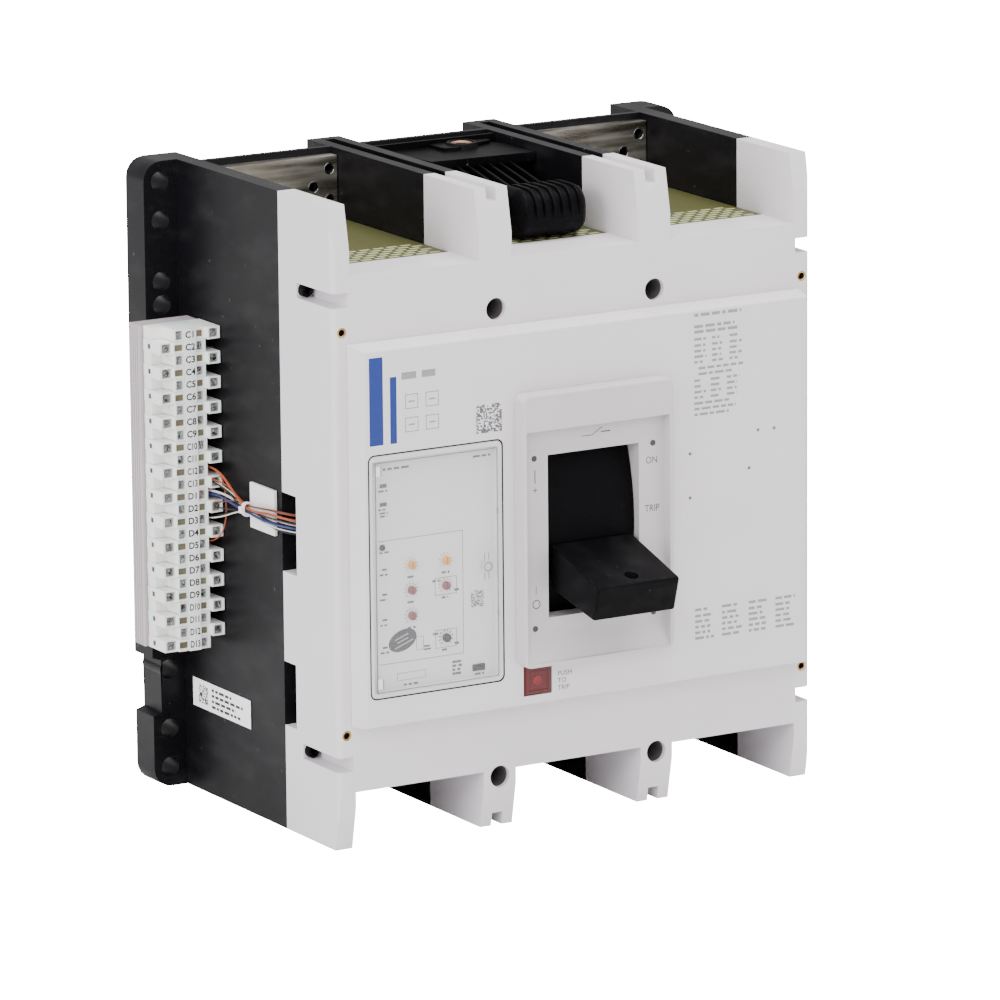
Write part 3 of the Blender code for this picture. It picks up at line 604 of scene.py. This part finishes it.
def fit_vents():
    """Perforated exhaust screens over a pale grid."""
    for number in (1, 2, 3):
        low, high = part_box(f"vent_sheet_{number}")
        x0, x1, y0, y1 = (v / MM for v in (low.x, high.x, low.y, high.y))
        curve = bpy.data.curves.new("sheet", "CURVE")
        curve.dimensions = "2D"
        curve.fill_mode = "BOTH"
        curve.extrude = 0.3
        holes = []
        pitch, rise, half_wide, half_high = 9.8, 5.7, 3.8, 2.0
        for row in range(6):
            y = y0 + 3.6 + rise * row
            x = x0 + 6.0 + (row % 2) * pitch / 2
            while x + 4.4 < x1:
                holes.append(rounded(span(x, half_wide), span(y, half_high), 1.2, 3))
                x += pitch
        for outline in [[(x0, y0), (x1, y0), (x1, y1), (x0, y1)], *holes]:
            spline = curve.splines.new("POLY")
            spline.points.add(len(outline) - 1)
            for point, (u, v) in zip(spline.points, outline):
                point.co = (u, v, 0.0, 1.0)
            spline.use_cyclic_u = True
        thing = bpy.data.objects.new("sheet", curve)
        bpy.context.scene.collection.objects.link(thing)
        bpy.context.view_layer.update()
        mesh = bpy.data.meshes.new_from_object(thing)
        bpy.data.objects.remove(thing)
        mesh.transform(Matrix.Translation((0, 0, high.z - 0.35 * MM)) @ Matrix.Diagonal((MM, MM, MM, 1)))
        form = bmesh.new()
        form.from_mesh(mesh)
        bpy.data.meshes.remove(mesh)
        sheet = piece(f"exhaust_screen_{number}", form, "case", OLIVE)
        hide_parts(f"vent_sheet_{number}")
        grid = bmesh.new()
        y = y0 + 1.0
        while y < y0 + 36:
            block(grid, (x0 + 1, x1 - 1), (-y - 0.8, -y + 0.8), (low.z / MM, high.z / MM - 0.25))
            y += 1.9
        piece(f"exhaust_grid_{number}", grid, "case", PALE_GREEN)


# ---------------------------------------------------------------- print on the panel and bezel


def print_panel():
    front = -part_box("front_panel")[0].y / MM
    bars("band_print", INK_BLUE, front, [(-156.8, -147.2, 55.3, 110.3), (-142.2, -137.6, 55.3, 97.0)])
    bars("code_print", INK_GREY, front, code_square(-81.3, 54.5, -63.0, 72.5, 21))
    marks = []
    for x, z in ((-127, 80.5), (-112.5, 80.5), (-127, 66), (-112.5, 66)):
        marks += outline_bars(x - 4.6, x + 4.6, z - 4.6, z + 4.6, 0.5)
        marks.append((x - 2.2, x + 2.2, z - 0.5, z + 0.5))
    marks += text_lines(-134, -106, [99.0], 4.4)
    marks += text_lines(77, 112, [112.5, 105.2, 101.8], 1.9)
    rows = (97.0, 93.0, 89.4, 85.9, 82.4)
    for top in rows:
        marks += text_lines(77, 87, [top], 1.6)
        marks += text_lines(90, 99, [top], 1.6)
        marks += text_lines(103, 113, [top], 1.6)
    marks += text_lines(80, 118, [78.3, 74.6], 1.6)
    for top in (70.6, 66.9, 63.3, 59.7):
        marks += text_lines(77, 86, [top], 1.6)
        marks += text_lines(89, 97, [top], 1.6)
        marks += text_lines(101, 113, [top], 1.6)
    marks += text_lines(77, 118, [56.0, 52.4, 48.8], 1.6)
    for top in (-77, -81, -84.6, -88.2, -91.8, -95.4):
        for x in (77, 97, 117, 137):
            marks += text_lines(x, x + 15, [top], 1.7)
    bars("panel_print", INK_PALE, front, marks)
    form = bmesh.new()
    for row, word in enumerate(("PUSH", "TO", "TRIP")):
        lettering(form, word, 4.4, facing_front(-24.2, front, -105.4 - 4.6 * row), "LEFT")
    piece("button_words", form, "case", INK_GREY)


def print_bezel():
    floor = BEZEL_FLOOR
    form = bmesh.new()
    for word, x, z in (("ON", 42.2, 24.2), ("TRIP", 42.4, -6.6)):
        lettering(form, word, 6.4, facing_front(x, floor, z) @ Matrix.Scale(0.85, 4, (1, 0, 0)))
    for x0, x1, z0, z1 in (
        (-43.0, -42.3, 19.4, 28.0), (-44.2, -40.9, 14.8, 15.3), (-42.8, -42.3, 13.3, 16.8),
        (-42.6, -42.2, -51.0, -45.6), (-8.8, -0.9, 45.2, 45.7), (5.4, 12.2, 46.4, 47.2),
    ):
        block(form, (x0, x1), span(floor, 0.05), (z0, z1))
    prism(form, [(-1.2, 45.2), (6.3, 49.6), (6.0, 50.1), (-1.3, 45.7)],
          lambda u, v: at(u, floor - 0.05, v), lambda u, v: at(u, floor + 0.05, v))
    lathe(form, [(2.9, 0), (2.9, 0.1), (2.3, 0.1), (2.3, 0)], facing_front(-42.2, floor - 0.04, -57.6), 24)
    piece("bezel_print", form, "case", INK_GREY)
    # Painted shade: dark grey dishes for the shade in the bezel's small holes.
    form = bmesh.new()
    for x in (-43.1, 43.1):
        for z in (35.2, -73.2):
            lathe(form, [(0, 0), (1.9, 0), (1.9, 0.12), (1.3, 0.06), (0, -0.3)],
                  facing_front(x, floor, z), 20)
    piece("bezel_pins", form, "case", DARK_GREY_AND_SHADE)


# ---------------------------------------------------------------- trip unit


DIAL_RINGS = (
    ("yellow", INK_YELLOW, ((-125.8, -23.6), (-101.4, -23.7))),
    ("red", INK_PALE, ((-126.0, -39.5), (-101.6, -39.6), (-126.0, -55.7))),
    ("grey", INK_GREY, ((-101.7, -72.8),)),
)


def sloping_bar(form, place, turn, reach, half, low, high):
    """A flat bar at an angle: reach along it each way, half its width, from low to high in depth."""
    x, z = place
    du, dv = math.cos(turn), math.sin(turn)
    outline = [
        (x + a * reach * du - b * half * dv, z + a * reach * dv + b * half * du)
        for a, b in ((-1, -1), (1, -1), (1, 1), (-1, 1))
    ]
    prism(form, outline, lambda u, v: at(u, low, v), lambda u, v: at(u, high, v))


def print_unit():
    floor = UNIT_FLOOR
    # Painted shadow: a near-black ring down the gap between the trip unit and its recess.
    gap = bmesh.new()
    outer = rounded((-158.4, -62.4), (-105.0, 49.6), 4.4, 6)
    inner = rounded((-157.5, -63.2), (-104.2, 48.7), 3.6, 6)
    rings = [
        [gap.verts.new(at(u, d, v)) for u, v in path] for d in GAP_DEPTHS for path in (outer, inner)
    ]
    count = len(outer)
    for i in range(count):
        j = (i + 1) % count
        for a, b in ((0, 1), (1, 3), (3, 2), (2, 0)):
            gap.faces.new([rings[a][i], rings[a][j], rings[b][j], rings[b][i]])
    piece("unit_gap", gap, "case", GAP_SHADE)
    lines = [(-149.2, -88.7, -6.45, -6.1), (-89.3, -88.95, -84.5, -6.1), (-149.2, -89.0, -84.5, -84.15)]
    for z in (16.8, 28.5):
        lines += text_lines(-148.6, -140.6, [z - 2.7], 1.2)
    lines += text_lines(-147.6, -141.2, [11.9, 9.9], 1.2)
    for z in (-10.2, -24.3, -40.1, -56.2, -73.7):
        lines += text_lines(-148.2, -141.0, [z - 2.7], 1.2)
    lines += text_lines(-145.2, -123.2, [39.4], 1.5) + text_lines(-81.2, -66.7, [39.9], 1.3)
    for _, _, dials in DIAL_RINGS:
        for x, z in dials:
            lines += text_lines(x - 2.9, x + 3.4, [z - 6.9], 1.4)
    lines += outline_bars(-109.2, -93.6, -45.5, -34.3, 0.35) + outline_bars(-109.2, -93.8, -79.1, -67.5, 0.35)
    lines += text_lines(-111.0, -105.0, [-35.4, -69.0], 1.4) + text_lines(-95.5, -91.5, [-42.5, -76.5], 1.6)
    lines += outline_bars(-122.8, -117.6, -78.4, -69.6, 0.3) + text_lines(-117.4, -110.0, [-75.8, -77.8], 1.2)
    lines += outline_bars(-136.7, -116.2, -96.1, -91.2, 0.3)
    lines += text_lines(-132.2, -119.2, [-98.3], 1.3)
    lines += text_lines(-97.4, -88.2, [-88.4, -90.9, -93.4, -95.9], 1.6)
    lines += text_lines(-81.2, -74.2, [-98.4], 1.2)
    bars("unit_print", INK_GREY, floor, lines)
    bars("unit_code", INK_GREY, floor, code_square(-83.5, -56.3, -74.2, -45.6, 17))
    form = bmesh.new()
    for z in (16.8, 28.5):
        block(form, span(-145.2, 2.4), (floor - 0.1, floor + 0.5), span(z, 1.2))
    for z in (-24.3, -40.1, -56.2, -73.7):
        block(form, span(-145.0, 1.7), (floor - 0.1, floor + 0.4), span(z, 0.6))
    piece("status_lamps", form, "case", DARK_GREY_AND_SHADE, 0.2)
    form = bmesh.new()
    xs = [-82.9, -82.1, -81.0, -76.2, -75.1, -74.3]
    zs = [-96.9, -96.2, -95.6, -93.9, -93.3, -92.7]
    relief(form, xs, zs, floor - 0.2, rimmed(floor, 0.9, 0.1, 0.5))
    piece("test_port", form, "case", SOOT, 0.1)
    tag = bmesh.new()
    turn = math.radians(20)
    outline = []
    for i in range(36):
        a = 2 * math.pi * i / 36
        u, v = 10.3 * math.cos(a), 6.6 * math.sin(a)
        du, dv = math.cos(turn), math.sin(turn)
        outline.append((TAG_AT[0] + u * du - v * dv, TAG_AT[1] + u * dv + v * du))
    prism(tag, outline, lambda u, v: at(u, floor - 0.05, v), lambda u, v: at(u, floor + 0.25, v))
    piece("oval_tag", tag, "case", INK_DARK, 0.1)
    tag = bmesh.new()
    for shift, half in ((2.4, 5.0), (0.0, 4.0), (-2.6, 7.0)):
        place = (TAG_AT[0] - shift * math.sin(turn), TAG_AT[1] + shift * math.cos(turn))
        sloping_bar(tag, place, turn, half, 0.45, floor + 0.2, floor + 0.3)
    piece("oval_tag_lines", tag, "case", INK_PALE)
    for name, look, dials in DIAL_RINGS:
        form = bmesh.new()
        for x, z in dials:
            for i in range(10):
                a = math.radians(-45 + 30 * i)
                place = (x + 4.6 * math.cos(a), z + 4.6 * math.sin(a))
                sloping_bar(form, place, a, 0.75, 0.28, floor - 0.03, floor + 0.05)
        piece(f"dial_ticks_{name}", form, "case", look)
    form = bmesh.new()
    collar = [(1.9, 0), (2.9, 0), (2.9, 0.5), (2.5, 0.7), (1.9, 0.5), (1.9, 0)]
    lathe(form, collar, facing_front(-146.5, floor - 0.1, -10.2), 24)
    piece("reset_collar", form, "case", UNIT)


def fit_window():
    low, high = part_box("trip_unit_window")
    x0, x1, z0, z1 = low.x / MM, high.x / MM, low.z / MM, high.z / MM
    front = -low.y / MM
    # Painted edge shade: grey bars along the clear window's edges, standing in for the shade and reflection
    # there.
    form = bmesh.new()
    for a, b, c, d in outline_bars(x0 + 0.1, x1 - 0.1, z0 + 0.1, z1 - 0.1, 0.45):
        block(form, (a, b), (front - 0.4, front + 0.25), (c, d))
    piece("window_rim", form, "window", EDGE_SHADE, 0.1)
    form = bmesh.new()
    # The tabs are grey: painted edge shade on clear tabs.
    tabs = bmesh.new()
    for z in ((z1 - 8.6, z1 - 2.4), (z0 + 2.4, z0 + 8.6)):
        block(form, (x0 + 0.6, x0 + 3.8), (front - 1.2, front + 0.3), z)
        block(tabs, (x0 + 3.9, x0 + 4.6), (front - 0.3, front + 0.3), z)
    piece("window_clips", form, "window", WHITE, 0.3)
    for z in (4.6, -60.2):
        block(tabs, (x1 - 0.9, x1 + 0.1), (front - 0.3, front + 0.6), span(z, 1.9))
    piece("window_tabs", tabs, "window", EDGE_SHADE, 0.2)
    # Painted edge shade: grey bars above and below the clear latch, for the shade in its slots.
    form = bmesh.new()
    for way in (-1, 1):
        for x in (-1.5, 1.5):
            middle = LATCH_AT[1] + way * 6.2
            block(form, span(LATCH_AT[0] + x, 0.3), (front - 0.1, front + 0.15), span(middle, 2.2))
    piece("latch_print", form, "window", EDGE_SHADE)
    # Painted edge shade: a grey ring on the clear latch.
    form = bmesh.new()
    ring = [(2.2, 0), (3.1, 0), (3.1, 0.3), (2.2, 0.3), (2.2, 0)]
    lathe(form, ring, facing_front(LATCH_AT[0], LATCH_FRONT, LATCH_AT[1]), 24)
    piece("latch_ring", form, "window_latch", EDGE_SHADE)


def fit_button():
    low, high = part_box("trip_button")
    x0, x1, z0, z1 = low.x / MM, high.x / MM, -116.5, -97.0
    front = -low.y / MM
    form = bmesh.new()
    xs = [x0 + 0.9, x0 + 2.6, x0 + 4.4, x1 - 4.4, x1 - 2.6, x1 - 0.9]
    zs = [z0 + 0.9, z0 + 2.6, z0 + 4.4, z1 - 4.4, z1 - 2.6, z1 - 0.9]
    relief(form, xs, zs, front - 0.5, rimmed(front, 0.5, 0.1, 0.35))
    piece("button_face", form, "trip_button", RED, 0.25)
    form = bmesh.new()
    lathe(form, [(0, 0.1), (1.6, 0.1), (2.4, 0.35), (2.9, 0.35), (3.1, 0.0)],
          facing_front((x0 + x1) / 2 - 0.6, front + 0.3, (z0 + z1) / 2 - 0.5), 24)
    piece("button_mark", form, "trip_button", DEEP_RED)


# ---------------------------------------------------------------- terminal strip


ROWS, PITCH, STRIP_TOP = 26, 7.97, 105.7
SIDE_ROWS = (
    ((-213.7, -205.5, -204.5, -203.4, -198.4, -198.0, -189.5, -188.8, -184.4, -182.3, -181.0, -174.9, -173.6),
     (61.5, 66.5, 76, 76, 76, 76, 76, 76, 76, 79, 79, 79), {3: 73.0, 7: 74.6, 10: 76.8}, 7),
    ((-214.0, -212.3, -206.0, -204.9, -204.4, -198.3, -197.8, -189.5, -188.8, -184.4, -182.3),
     (74, 74, 74, 76, 76, 76, 76, 76, 76, 76), {1: 71.8, 4: 74.2, 8: 73.0}, 4),
)


def row_at(row):
    return STRIP_TOP - PITCH * (row + 0.5)


def screw_head(form, x, d, z, radius, angle):
    """A slotted screw head: two raised halves on a disc."""
    lathe(form, [(0, -1.5), (radius, -1.5), (radius, 0), (0, 0)], facing_front(x, d, z), 16)
    for start in (0, 180):
        outline = []
        for i in range(9):
            a = math.radians(start + 12 + 156 * i / 8)
            outline.append((radius * 0.96 * math.cos(a), radius * 0.96 * math.sin(a)))
        turned = [
            (x + u * math.cos(angle) - v * math.sin(angle), z + u * math.sin(angle) + v * math.cos(angle))
            for u, v in outline
        ]
        prism(form, turned, lambda u, v: at(u, d - 0.1, v), lambda u, v: at(u, d + 0.8, v))


def fit_strip():
    """Two staggered columns of blocks: screws in square pockets, one low wire entry in each row."""
    body = bmesh.new()
    screws = bmesh.new()
    shades = bmesh.new()
    entries = bmesh.new()
    words = bmesh.new()
    slots = bmesh.new()
    for row in range(ROWS):
        z = row_at(row)
        xs, tops, floors, entry = SIDE_ROWS[row % 2]
        for column, floor in floors.items():
            x0, x1 = xs[column] - 0.05, xs[column + 1] + 0.05
            if column == entry:
                block(entries, (x0, x1), (floor - 0.3, floor + 0.3), span(z, 2.2))
                continue
            # Painted shade: a grey floor in each screw pocket.
            block(shades, (x0, x1), (floor - 0.3, floor + 0.1), span(z, 3.0))
            screw_head(screws, (x0 + x1) / 2, floor + 0.5, z, 2.1, chance.uniform(0, math.pi))
        zs = [z - 3.93, z - 2.9, z - 2.1, z + 2.1, z + 2.9, z + 3.93]

        def front(i, j, tops=tops, floors=floors, entry=entry):
            inside = j == 2 if i == entry else 1 <= j <= 3
            return floors[i] if i in floors and inside else tops[i]

        relief(body, xs, zs, 52.0, front)
        # Painted shade: a dark grey patch for each test slot on the left side.
        if row % 2:
            block(slots, (-214.12, -213.8), (58.5, 61.5), (z - 1.6, z + 1.4))
        word = f"{'CD'[row // 13]}{row % 13 + 1}"
        narrow = Matrix.Scale(0.98 if len(word) == 2 else 0.72, 4, (1, 0, 0))
        lettering(words, word, 5.9, facing_front(-193.8, 77.02, z) @ narrow, weight=0.14)
    block(body, (-203.5, -183.0), (51.6, 60.0), (STRIP_TOP - ROWS * PITCH + 0.1, STRIP_TOP - 0.1))
    strip = piece("terminal_blocks", body, "case", BLOCK, 0.22, flat=False)
    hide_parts("terminal_strip")
    piece("terminal_screws", screws, "case", SCREW)
    piece("screw_sleeves", shades, "case", POCKET_SHADE)
    piece("wire_entries", entries, "case", ENTRY)
    piece("test_slots", slots, "case", DARK_GREY_AND_SHADE)
    piece("terminal_numbers", words, "case", INK_DARK)


def fit_rail():
    """The carrier's extruded profile, ribbed on its outer side."""
    form = bmesh.new()
    side = [(-216.0, 37.0)]
    for d in (39.4, 42.2, 45.0, 47.8):
        side += [(-216.0, d - 0.45), (-215.0, d - 0.45), (-215.0, d + 0.45), (-216.0, d + 0.45)]
    outline = [*side, (-216.0, 51.2), (-174.5, 51.2), (-174.5, 37.0)]
    prism(form, outline, lambda u, v: at(u, v, -101.5), lambda u, v: at(u, v, 105.3))
    for z in (-90, 90):
        block(form, (-195, -176), (24.3, 37.5), span(z, 10))
    rail = piece("carrier_rail", form, "case", RAIL, 0.15)
    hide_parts("terminal_rail")


# ---------------------------------------------------------------- leads


def lead(name, look, points, radius):
    """A round lead through the places given, as one tube with closed ends."""
    curve = bpy.data.curves.new(name, "CURVE")
    curve.dimensions = "3D"
    curve.bevel_depth = radius * MM
    curve.bevel_resolution = 3
    curve.resolution_u = 8
    curve.use_fill_caps = True
    spline = curve.splines.new("NURBS")
    spline.points.add(len(points) - 1)
    for point, place in zip(spline.points, points):
        point.co = (*at(*place), 1.0)
    spline.order_u = 4
    spline.use_endpoint_u = True
    thing = bpy.data.objects.new(name, curve)
    bpy.context.scene.collection.objects.link(thing)
    bpy.context.view_layer.update()
    form = bmesh.new()
    mesh = bpy.data.meshes.new_from_object(thing)
    form.from_mesh(mesh)
    bpy.data.objects.remove(thing)
    bpy.data.meshes.remove(mesh)
    return piece(name, form, "case", look)


def fit_leads():
    """The thinner leads that share the tie with the four heavy ones."""
    routes = (
        ("orange", 12, 69.0, (0.2, 2.3), 0.45), ("black", 12, 61.0, (-2.3, 0.3), 0.5),
        ("brown", 14, 65.0, (-0.6, 2.6), 0.45), ("white", 12, 66.5, (2.1, -0.4), 0.45),
        ("black", 14, 61.0, (0.6, -2.7), 0.45), ("white", 15, 62.5, (-2.2, -2.0), 0.45),
    )
    for number, (colour, row, start, (dx, dz), radius) in enumerate(routes, 1):
        z = row_at(row) + dz * 0.6
        points = [
            (-181.4, start, z), (-178.6 + dx * 0.3, start + 14, z + 0.5),
            (-178.0 + dx * 0.5, 100, z * 0.45 + dz), (-178.9 + dx, 115, -3.5 + dz),
            (-178.9 + dx, 127, -3.5 + dz), (-178.4 + dx * 0.8, 149, -4 + 2.2 * dz),
            (-172.5 + dx * 0.4, 160.5 + dx * 0.5, -6 + 2.4 * dz), (-162, 165.5 - 1.2 * dx, -8 + 2.4 * dz),
            (-158, 166.0 - 1.2 * dx, -9 + 2.4 * dz),
        ]
        lead(f"thin_lead_{number}", INSULATION[colour], points, radius)
    lead("bridge_lead", INSULATION["orange"], [
        (-181.4, 68, row_at(11)), (-177.5, 78, row_at(11) + 1.5), (-176.2, 87, row_at(12) + 2),
        (-176.4, 89, row_at(14)), (-176.4, 88, row_at(15)), (-177.2, 82, row_at(17) + 2),
        (-181.4, 70, row_at(17)),
    ], 0.45)


# ---------------------------------------------------------------- stored handle extension


def ring_x(form, rings):
    """Joins closed rings of (x, points) along x and caps both ends."""
    made = [[form.verts.new(at(x, d, z)) for d, z in points] for x, points in rings]
    for low, high in zip(made, made[1:]):
        for i in range(len(low)):
            j = (i + 1) % len(low)
            form.faces.new([low[i], low[j], high[j], high[i]])
    form.faces.new(made[0])
    form.faces.new(list(reversed(made[-1])))


def fit_extension():
    form = bmesh.new()
    plate = [(-30, 47), (20, 47), (38, 52), (44, 62), (44, 100), (-29, 96), (-34, 58)]
    prism(form, plate, lambda u, v: at(u, v, 192), lambda u, v: at(u, v, 198))
    inner = [(-27, 51), (16, 51), (36, 56), (40, 64), (40, 86), (-27, 86), (-31, 61)]
    prism(form, inner, lambda u, v: at(u, v, 177), lambda u, v: at(u, v, 192.5))
    up = Matrix.Translation(at(13.6, 60, 0))
    boss = [
        (11.6, 197.5), (10.6, 198.6), (10.0, 201.1), (9.5, 201.5), (7.5, 201.5), (7.3, 199.0), (0, 199.0),
    ]
    lathe(form, boss, up, 40)
    land = [(-5, 51), (0, 48.5), (21, 48.5), (36, 53.5), (36, 58), (24, 62), (4, 71), (-4, 68)]
    prism(form, land, lambda u, v: at(u, v, 197.4), lambda u, v: at(u, v, 200.2))
    stem = [(80, 194), (100, 189), (165, 177), (165, 163), (100, 172), (70, 186)]
    prism(form, stem, lambda u, v: at(-12, u, v), lambda u, v: at(26, u, v))
    rib = [(82, 197.4), (100, 193.4), (158, 181.5), (158, 172), (100, 182), (82, 188)]
    for i in range(6):
        x = -11.6 + 7.6 * i
        prism(form, rib, lambda u, v, x=x: at(x - 0.9, u, v), lambda u, v, x=x: at(x + 0.9, u, v))
    block(form, (-11.4, 31.4), (79.5, 84.0), (186, 197.2))
    block(form, (-44, 44), (46.6, 48.8), (191, 202.4))
    outline = rounded((-20.0, 20.0), (-15.6, 15.6), 13.0, 6)
    rings = []
    places = [(-19.9, 0.5, 0.5), (-19.4, 0.68, 0.68), (-18.0, 0.84, 0.84), (-16.0, 0.95, 0.95)]
    for i in range(7):
        start = -14.6 + 6.3 * i
        for step, high in ((0, 0.985), (0.4, 1.0), (1.9, 1.0), (2.3, 0.985), (2.5, 0.9), (6.1, 0.9)):
            places.append((start + step, 1.0, high))
    places = places[:-2] + [(26.0, 0.98, 0.98), (28.4, 0.9, 0.9), (29.6, 0.78, 0.78), (30.0, 0.6, 0.6)]
    for x, low, high in places:
        scales = [high if v > -1 and u > -12 else low for u, v in outline]
        rings.append((x, [(170.6 + u * k, 176.2 + v * k) for k, (u, v) in zip(scales, outline)]))
    ring_x(form, rings)
    body = piece("extension_body", form, "case", BLACK, 0.35)
    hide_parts("handle_extension")
    coin = bmesh.new()
    disc = [
        (0, 200.0), (3.6, 200.0), (3.9, 200.4), (6.4, 200.4), (6.7, 200.9), (7.1, 200.9), (7.2, 198.9),
        (0, 198.9),
    ]
    lathe(coin, disc, up, 32)
    piece("extension_disc", coin, "case", COIN)


# ---------------------------------------------------------------- side label


def print_label():
    low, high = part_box("side_label")
    face = low.x / MM
    d0, z0 = -high.y / MM, low.z / MM
    form = bmesh.new()
    sx = 12.0 / 14
    for i in range(14):
        for j in range(14):
            if chance.random() < 0.5:
                d, z = d0 + 8 + i * sx, z0 + 3.4 + j * sx
                block(form, (face - 0.05, face + 0.05), (d, d + 0.92 * sx), (z, z + 0.92 * sx))
    for top in (14.6, 11.0, 7.4, 3.8):
        for x0, x1, _, _ in text_lines(d0 + 25, d0 + 68, [0], 1.7):
            block(form, (face - 0.05, face + 0.05), (x0, x1), (z0 + top - 1.0, z0 + top + 0.7))
    piece("label_print", form, "case", INK_DARK)


# ---------------------------------------------------------------- scene


def area_light(name, place, size, energy):
    """A round lamp that faces the middle of the case."""
    lamp = bpy.data.lights.new(name, "AREA")
    lamp.shape = "DISK"
    lamp.size = size
    lamp.energy = energy
    thing = bpy.data.objects.new(name, lamp)
    thing.location = place
    aim = Vector((0, -0.1, 0)) - Vector(place)
    thing.rotation_euler = aim.to_track_quat("-Z", "Y").to_euler()
    bpy.context.scene.collection.objects.link(thing)


def set_stage():
    form = bmesh.new()
    bmesh.ops.create_grid(form, x_segments=8, y_segments=8, size=14.0)
    mesh = bpy.data.meshes.new("floor")
    form.to_mesh(mesh)
    form.free()
    floor = bpy.data.objects.new("floor", mesh)
    floor.location = (0, 0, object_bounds()[0].z - 0.0002)
    bpy.context.scene.collection.objects.link(floor)
    look = bpy.data.materials.new("floor_white")
    look.use_nodes = True
    tree = look.node_tree
    shader = tree.nodes["Principled BSDF"]
    shader.inputs["Base Color"].default_value = (0.9, 0.9, 0.9, 1)
    shader.inputs["Roughness"].default_value = 0.9
    shader.inputs["Emission Color"].default_value = (1, 1, 1, 1)
    rays = tree.nodes.new("ShaderNodeLightPath")
    glow = tree.nodes.new("ShaderNodeMath")
    glow.operation = "MULTIPLY"
    glow.inputs[1].default_value = 22.0
    tree.links.new(rays.outputs["Is Camera Ray"], glow.inputs[0])
    tree.links.new(glow.outputs[0], shader.inputs["Emission Strength"])
    mesh.materials.append(look)

    world = bpy.data.worlds.new("studio")
    world.use_nodes = True
    tree = world.node_tree
    sky = tree.nodes["Background"]
    rays = tree.nodes.new("ShaderNodeLightPath")
    level = tree.nodes.new("ShaderNodeMapRange")
    level.inputs["To Min"].default_value = 0.7
    level.inputs["To Max"].default_value = 24.0
    tree.links.new(rays.outputs["Is Camera Ray"], level.inputs["Value"])
    tree.links.new(level.outputs["Result"], sky.inputs["Strength"])
    sky.inputs["Color"].default_value = (1, 1, 1, 1)
    bpy.context.scene.world = world

    area_light("key", (-2.2, -3.4, 2.6), 2.6, 98)
    area_light("side", (-3.4, -0.9, 1.2), 2.2, 92)
    area_light("fill", (2.8, -3.0, 1.4), 2.4, 36)
    area_light("top", (0.2, -0.6, 3.2), 2.4, 150)


def set_camera():
    lens = bpy.data.cameras.new("camera")
    lens.lens = 275.2
    lens.sensor_width = 36.0
    lens.clip_start, lens.clip_end = 0.1, 60.0
    camera = bpy.data.objects.new("camera", lens)
    turn = (
        Matrix.Rotation(math.radians(-30.40), 4, "Z")
        @ Matrix.Rotation(math.radians(90 - 12.765), 4, "X")
        @ Matrix.Rotation(math.radians(-0.504), 4, "Z")
    )
    camera.matrix_world = Matrix.Translation((-2.3986, -4.2162, 1.0556)) @ turn
    bpy.context.scene.collection.objects.link(camera)
    bpy.context.scene.camera = camera


for unwanted in ("Cube", "Light", "Camera"):
    if unwanted in bpy.data.objects:
        bpy.data.objects.remove(bpy.data.objects[unwanted])
set_camera()
dress_nodes()
fit_inserts()
fit_side_screws()
fit_well_shade_tubes()
fit_thread_sleeves()
fit_vents()
print_panel()
print_bezel()
print_unit()
fit_window()
fit_button()
fit_strip()
fit_rail()
fit_leads()
fit_extension()
print_label()
set_stage()
